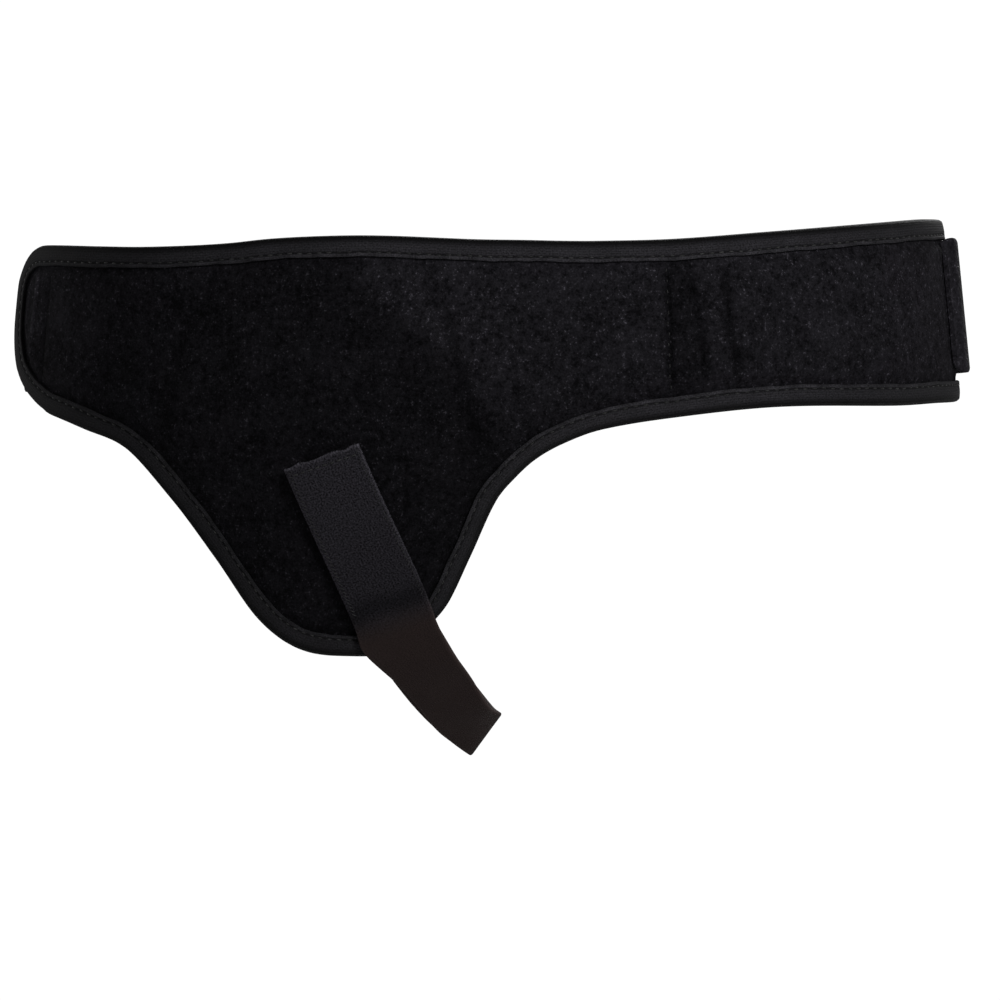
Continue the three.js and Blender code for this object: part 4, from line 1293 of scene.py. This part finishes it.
def smooth_line(points, shares):
    """Points on a smooth curve through all of points, at shares of its count of spans."""
    padded = np.concatenate([[2 * points[0] - points[1]], points, [2 * points[-1] - points[-2]]])
    place = shares * (len(points) - 1)
    i = np.minimum(place.astype(int), len(points) - 2)
    t = (place - i).reshape(-1, *[1] * (points.ndim - 1))
    before, start, end, after = padded[i], padded[i + 1], padded[i + 2], padded[i + 3]
    start_slope = (end - before) / 2
    end_slope = (after - start) / 2
    return ((2 * t ** 3 - 3 * t ** 2 + 1) * start + (t ** 3 - 2 * t ** 2 + t) * start_slope
            + (3 * t ** 2 - 2 * t ** 3) * end + (t ** 3 - t ** 2) * end_slope)


def strip_surface(stations, steps, rows):
    """A strip's middle surface, outward directions and lengths along and across it."""
    lines = smooth_line(stations, np.linspace(0, 1, steps + 1))
    cross = smooth_line(np.swapaxes(lines, 0, 1), rows)
    surface = np.swapaxes(cross, 0, 1)
    along = np.gradient(surface, axis=0)
    across = np.gradient(surface, axis=1)
    outward = unit(np.cross(along, across))
    middle = surface[:, len(rows) // 2]
    walked = np.concatenate([[0], np.cumsum(np.linalg.norm(np.diff(middle, axis=0), axis=1))])
    return surface, outward, walked


def strip_piece(name, stations, steps, rows, width, thickness, edge_round, relief, material, raw=0.0,
                **makers):
    """A strip with rounded edges whose first end may be raw.

    relief and makers give the height and the fields from the places along and across, in metres.
    """
    surface, outward, walked = strip_surface(stations, steps, rows)
    from_side = np.minimum(rows, 1 - rows) * width
    left = 1 - np.clip(from_side / edge_round, 0, 1)
    half = (thickness * mix(1.0, WEBBING_EDGE_SHARE, left ** 2) / 2)[None, :, None]
    surface[0] -= unit(surface[1] - surface[0]) * raw * (1 + wave((rows - 0.5) * width, RAW_WAVER))[:, None]
    along, across = np.broadcast_arrays(walked[:, None], (rows[None, :] - 0.5) * width)
    lift = relief(along, across)[..., None]
    fields = {field_name: maker(along, across) for field_name, maker in makers.items()}
    piece = shell_piece(name, surface + outward * (half + lift), surface - outward * (half - lift),
                        np.stack([along, across], -1), material, **fields)
    return piece, surface, outward, walked


def on_strip(surface, outward, walked, along, across):
    """Places on the webbing's outer face and their outward directions."""
    i = np.interp(along, walked, np.arange(len(walked)))
    j = np.interp(across / GROIN_STRAP_WIDTH + 0.5, WEBBING_ROWS, np.arange(len(WEBBING_ROWS)))
    low_i = np.minimum(i.astype(int), len(walked) - 2)
    low_j = np.minimum(j.astype(int), len(WEBBING_ROWS) - 2)

    def blend(grid):
        near = mix(grid[low_i, low_j], grid[low_i + 1, low_j], (i - low_i)[:, None])
        far = mix(grid[low_i, low_j + 1], grid[low_i + 1, low_j + 1], (i - low_i)[:, None])
        return mix(near, far, (j - low_j)[:, None])

    facing = unit(blend(outward))
    lift = GROIN_STRAP_THICKNESS / 2 + webbing_relief(along, across)
    return blend(surface) + facing * lift[:, None], facing


def webbing_relief(along, across):
    """Slight waver of the webbing, with a wavier raw end."""
    raw_end = np.exp(-along / RAW_END_FADE)
    return WEBBING_LIFT * wave(along, 0.04, 0.4) + RAW_END_LIFT * raw_end * wave(across, 0.016)


def webbing_tone(along, across):
    """Pale raw end and selvedges, a painted shadow band where the sewn hook tape under it ends, and painted
    shade down the front lap.
    """
    from_side = GROIN_STRAP_WIDTH / 2 - np.abs(across)
    step_shadow = nearness(along - SEWN_LENGTH - STEP_SHADOW_WAVER * wave(across, 0.019), STEP_SHADOW_HALF)
    selvedge = mix(LEFT_SELVEDGE_PALENESS, RIGHT_SELVEDGE_PALENESS, across > 0)
    pale = selvedge * nearness(from_side, SELVEDGE) + RAW_END_PALENESS * nearness(along, RAW_END)
    # Painted shade, darker down the front lap
    lower = LOWER_LAP_PAINTED_SHADE * ease(along / SEWN_LENGTH)
    patches = WEBBING_PATCH_SHADE * wave(along, 0.047) * wave(across, 0.03, 1.1)
    return (1 + pale) * (1 - STEP_SHADOW_STRENGTH * step_shadow) * (1 - lower) * (1 + patches)


def webbing_stretch(along, across):
    """1 where the elastic is drawn out between the legs, 0 on its two laps."""
    drawn = ease((along - SEWN_LENGTH) / STRETCH_START)
    slack_again = ease((along - (FREE_END_ALONG - STRETCH_START)) / STRETCH_START)
    return drawn * (1 - slack_again) + 0 * across


def webbing_stitches(strip):
    """Overlocked edges along the front lap and a row across under the raw end."""
    along = even_places(EDGING_IN, SEWN_LENGTH, EDGING_PITCH)
    rows = []
    for side, name in ((-1, "webbing_edging_left"), (1, "webbing_edging_right")):
        across = np.full(len(along), side * (GROIN_STRAP_WIDTH / 2 - EDGING_IN))
        middle, outward = on_strip(*strip, along, across)
        ahead, _ = on_strip(*strip, along + EDGING_IN, across - side * EDGING_IN)
        rows.append(stitch_row(name, middle, ahead - middle, outward, edging_thread,
                               EDGING_LENGTH, EDGING_HALF_WIDTH))
    half = GROIN_STRAP_WIDTH / 2 - 2 * EDGING_IN
    across = even_places(-half, half, END_STITCH_PITCH)
    middle, outward = on_strip(*strip, np.full(len(across), END_STITCH_IN), across)
    ahead, _ = on_strip(*strip, np.full(len(across), END_STITCH_IN), across + NORMAL_STEP)
    rows.append(stitch_row("webbing_end_stitches", middle, ahead - middle, outward,
                           edging_thread))
    return rows


def groin_strap_webbing():
    stations = np.concatenate([
        lap_stations(FRONT_LAP, 0, FRONT_LAP["length"], GROIN_STRAP_WIDTH, OVER_HOOK_TAPE),
        route_stations(),
        lap_stations(REAR_LAP, 0, REAR_LAP["length"], GROIN_STRAP_WIDTH, OVER_HOOK_TAPE)])
    piece, *strip = strip_piece(
        "groin_strap_webbing", stations, GROIN_STEPS, WEBBING_ROWS, GROIN_STRAP_WIDTH,
        GROIN_STRAP_THICKNESS, WEBBING_EDGE_ROUND, webbing_relief, webbing_weave, RAW_DEPTH,
        tone=webbing_tone, stretch=webbing_stretch)
    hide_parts("groin_strap")
    webbing_stitches(strip)
    return piece


def lap_hook_tape(name, node, place, start, end):
    width = GROIN_STRAP_WIDTH - HOOK_TAPE_MARGIN
    stations = lap_stations(place, start, end, width, ON_HOOK_TAPE)
    piece, *_ = strip_piece(name, stations, HOOK_STEPS, np.linspace(0, 1, HOOK_ACROSS), width,
                            HOOK_TAPE_THICKNESS, HOOK_EDGE_ROUND, lambda along, across: 0 * along, hook_tape)
    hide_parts(node)
    return piece


# Camera, floor and light
VIEW_TARGET = (0.0038, 0.0, -0.0695)
VIEW_DISTANCE = 2.8
VIEW_ELEVATION = math.radians(1.0)
VIEW_LENS = 267.4
FLOOR_DROP = 0.34
FLOOR_RADIUS = 0.8
FLOOR_SIDES = 96
FLOOR_FINISH = (0.9, 0.2, 0.0)
FLOOR_LEVELS = (0.78, 0.82)
WHITE = (1, 1, 1, 1)
SEEN_STRENGTH = 1.05
LIGHTING_STRENGTH = 0.22

# Lamps: name, place, what it looks at, size and power
LAMPS = [
    ("key", (1.18, -2.04, 1.1), (0, 0, -0.03), 1.2, 60),
    ("fill", (-1.8, -2.2, 0.6), (0, 0, -0.03), 1.6, 7),
    ("back", (0.6, 2.4, 1.6), (0, 0, 0), 1.6, 110),
    ("left side", (2.5, 1.5, 0.5), (0, 0, 0), 1.4, 18),
    ("right side", (-2.5, 1.5, 0.5), (0, 0, 0), 1.4, 28),
]


def place_camera():
    data = bpy.data.cameras.new("camera")
    data.sensor_width = 36
    data.lens = VIEW_LENS
    data.clip_start = 0.05
    camera = bpy.data.objects.new("camera", data)
    target = Vector(VIEW_TARGET)
    away = Vector((0, -math.cos(VIEW_ELEVATION), math.sin(VIEW_ELEVATION)))
    camera.location = target + away * VIEW_DISTANCE
    camera.rotation_euler = (-away).to_track_quat("-Z", "Y").to_euler()
    bpy.context.scene.collection.objects.link(camera)
    bpy.context.scene.camera = camera


def lay_floor():
    """Pale round floor, too low and too small to come into the photograph's view."""
    material, nodes, links, shader = new_material("floor_pale", *FLOOR_FINISH)
    tone = noise_node(material.node_tree, object_place(nodes), 6.0)
    shades = [grey(level) for level in FLOOR_LEVELS]
    links.new(colour_mix(material.node_tree, tone, *shades), shader.inputs["Base Color"])
    angle = np.linspace(0, 2 * math.pi, FLOOR_SIDES, endpoint=False)
    x, y = FLOOR_RADIUS * np.cos(angle), FLOOR_RADIUS * np.sin(angle)
    points = np.stack([x, y, 0 * angle - FLOOR_DROP], -1)
    mesh = bpy.data.meshes.new("floor")
    mesh.from_pydata(points.tolist(), [], [list(range(len(points)))])
    mesh.materials.append(material)
    floor = bpy.data.objects.new("floor", mesh)
    bpy.context.scene.collection.objects.link(floor)


def soft_light(name, location, aim, size, power):
    data = bpy.data.lights.new(name, "AREA")
    data.shape = "DISK"
    data.size = size
    data.energy = power
    light = bpy.data.objects.new(name, data)
    light.location = location
    light.rotation_euler = (Vector(aim) - Vector(location)).to_track_quat("-Z", "Y").to_euler()
    bpy.context.scene.collection.objects.link(light)


def light_studio():
    """Surroundings that show white and light softly, and five large lamps: two in front and three behind."""
    world = bpy.data.worlds.new("studio")
    bpy.context.scene.world = world
    world.use_nodes = True
    nodes = world.node_tree.nodes
    links = world.node_tree.links
    seen = nodes["Background"]
    seen.inputs["Color"].default_value = WHITE
    seen.inputs["Strength"].default_value = SEEN_STRENGTH
    lighting = nodes.new("ShaderNodeBackground")
    lighting.inputs["Color"].default_value = WHITE
    lighting.inputs["Strength"].default_value = LIGHTING_STRENGTH
    chooser = nodes.new("ShaderNodeMixShader")
    links.new(nodes.new("ShaderNodeLightPath").outputs["Is Camera Ray"], chooser.inputs["Fac"])
    links.new(lighting.outputs["Background"], chooser.inputs[1])
    links.new(seen.outputs["Background"], chooser.inputs[2])
    links.new(chooser.outputs["Shader"], nodes["World Output"].inputs["Surface"])
    for lamp in LAMPS:
        soft_light(*lamp)
    bpy.context.scene.view_settings.view_transform = "Standard"


def build_belt():
    panel, run, rise, panel_area = front_panel_cloth()
    loop, places, length = panel_edge_loop(run, rise)
    binding = edge_binding_tape(loop, places)
    outer_row = binding_stitches("binding_stitches_outer", loop, length, 1)
    inner_row = binding_stitches("binding_stitches_inner", loop, length, -1)
    groin_pad_cushion()
    back_strap_webbing()
    right_end = BACK_STRAP_START - HOOK_TAPE_MARGIN
    hip_hook_tape("hip_hook_tape_right", "hip_hook_patch_right", right_end - RIGHT_HOOK_LENGTH, right_end,
                  BACK_STRAP_THICKNESS + SEAT)
    hip_hook_tape("hip_hook_tape_left", "hip_hook_patch_left", BACK_STRAP_END + HOOK_TAPE_MARGIN,
                  PANEL_END - LEFT_END_RADIUS, PANEL_THICKNESS + SEAT)
    groin_strap_webbing()
    inset = HOOK_TAPE_MARGIN / 2
    lap_hook_tape("groin_hook_tape_front", "groin_hook_front", FRONT_LAP, inset, inset + FRONT_HOOK_LENGTH)
    rear_end = REAR_LAP["length"] - inset
    lap_hook_tape("groin_hook_tape_back", "groin_hook_back", REAR_LAP, rear_end - REAR_HOOK_LENGTH, rear_end)
    seam_stitches()


place_camera()
lay_floor()
light_studio()
build_belt()
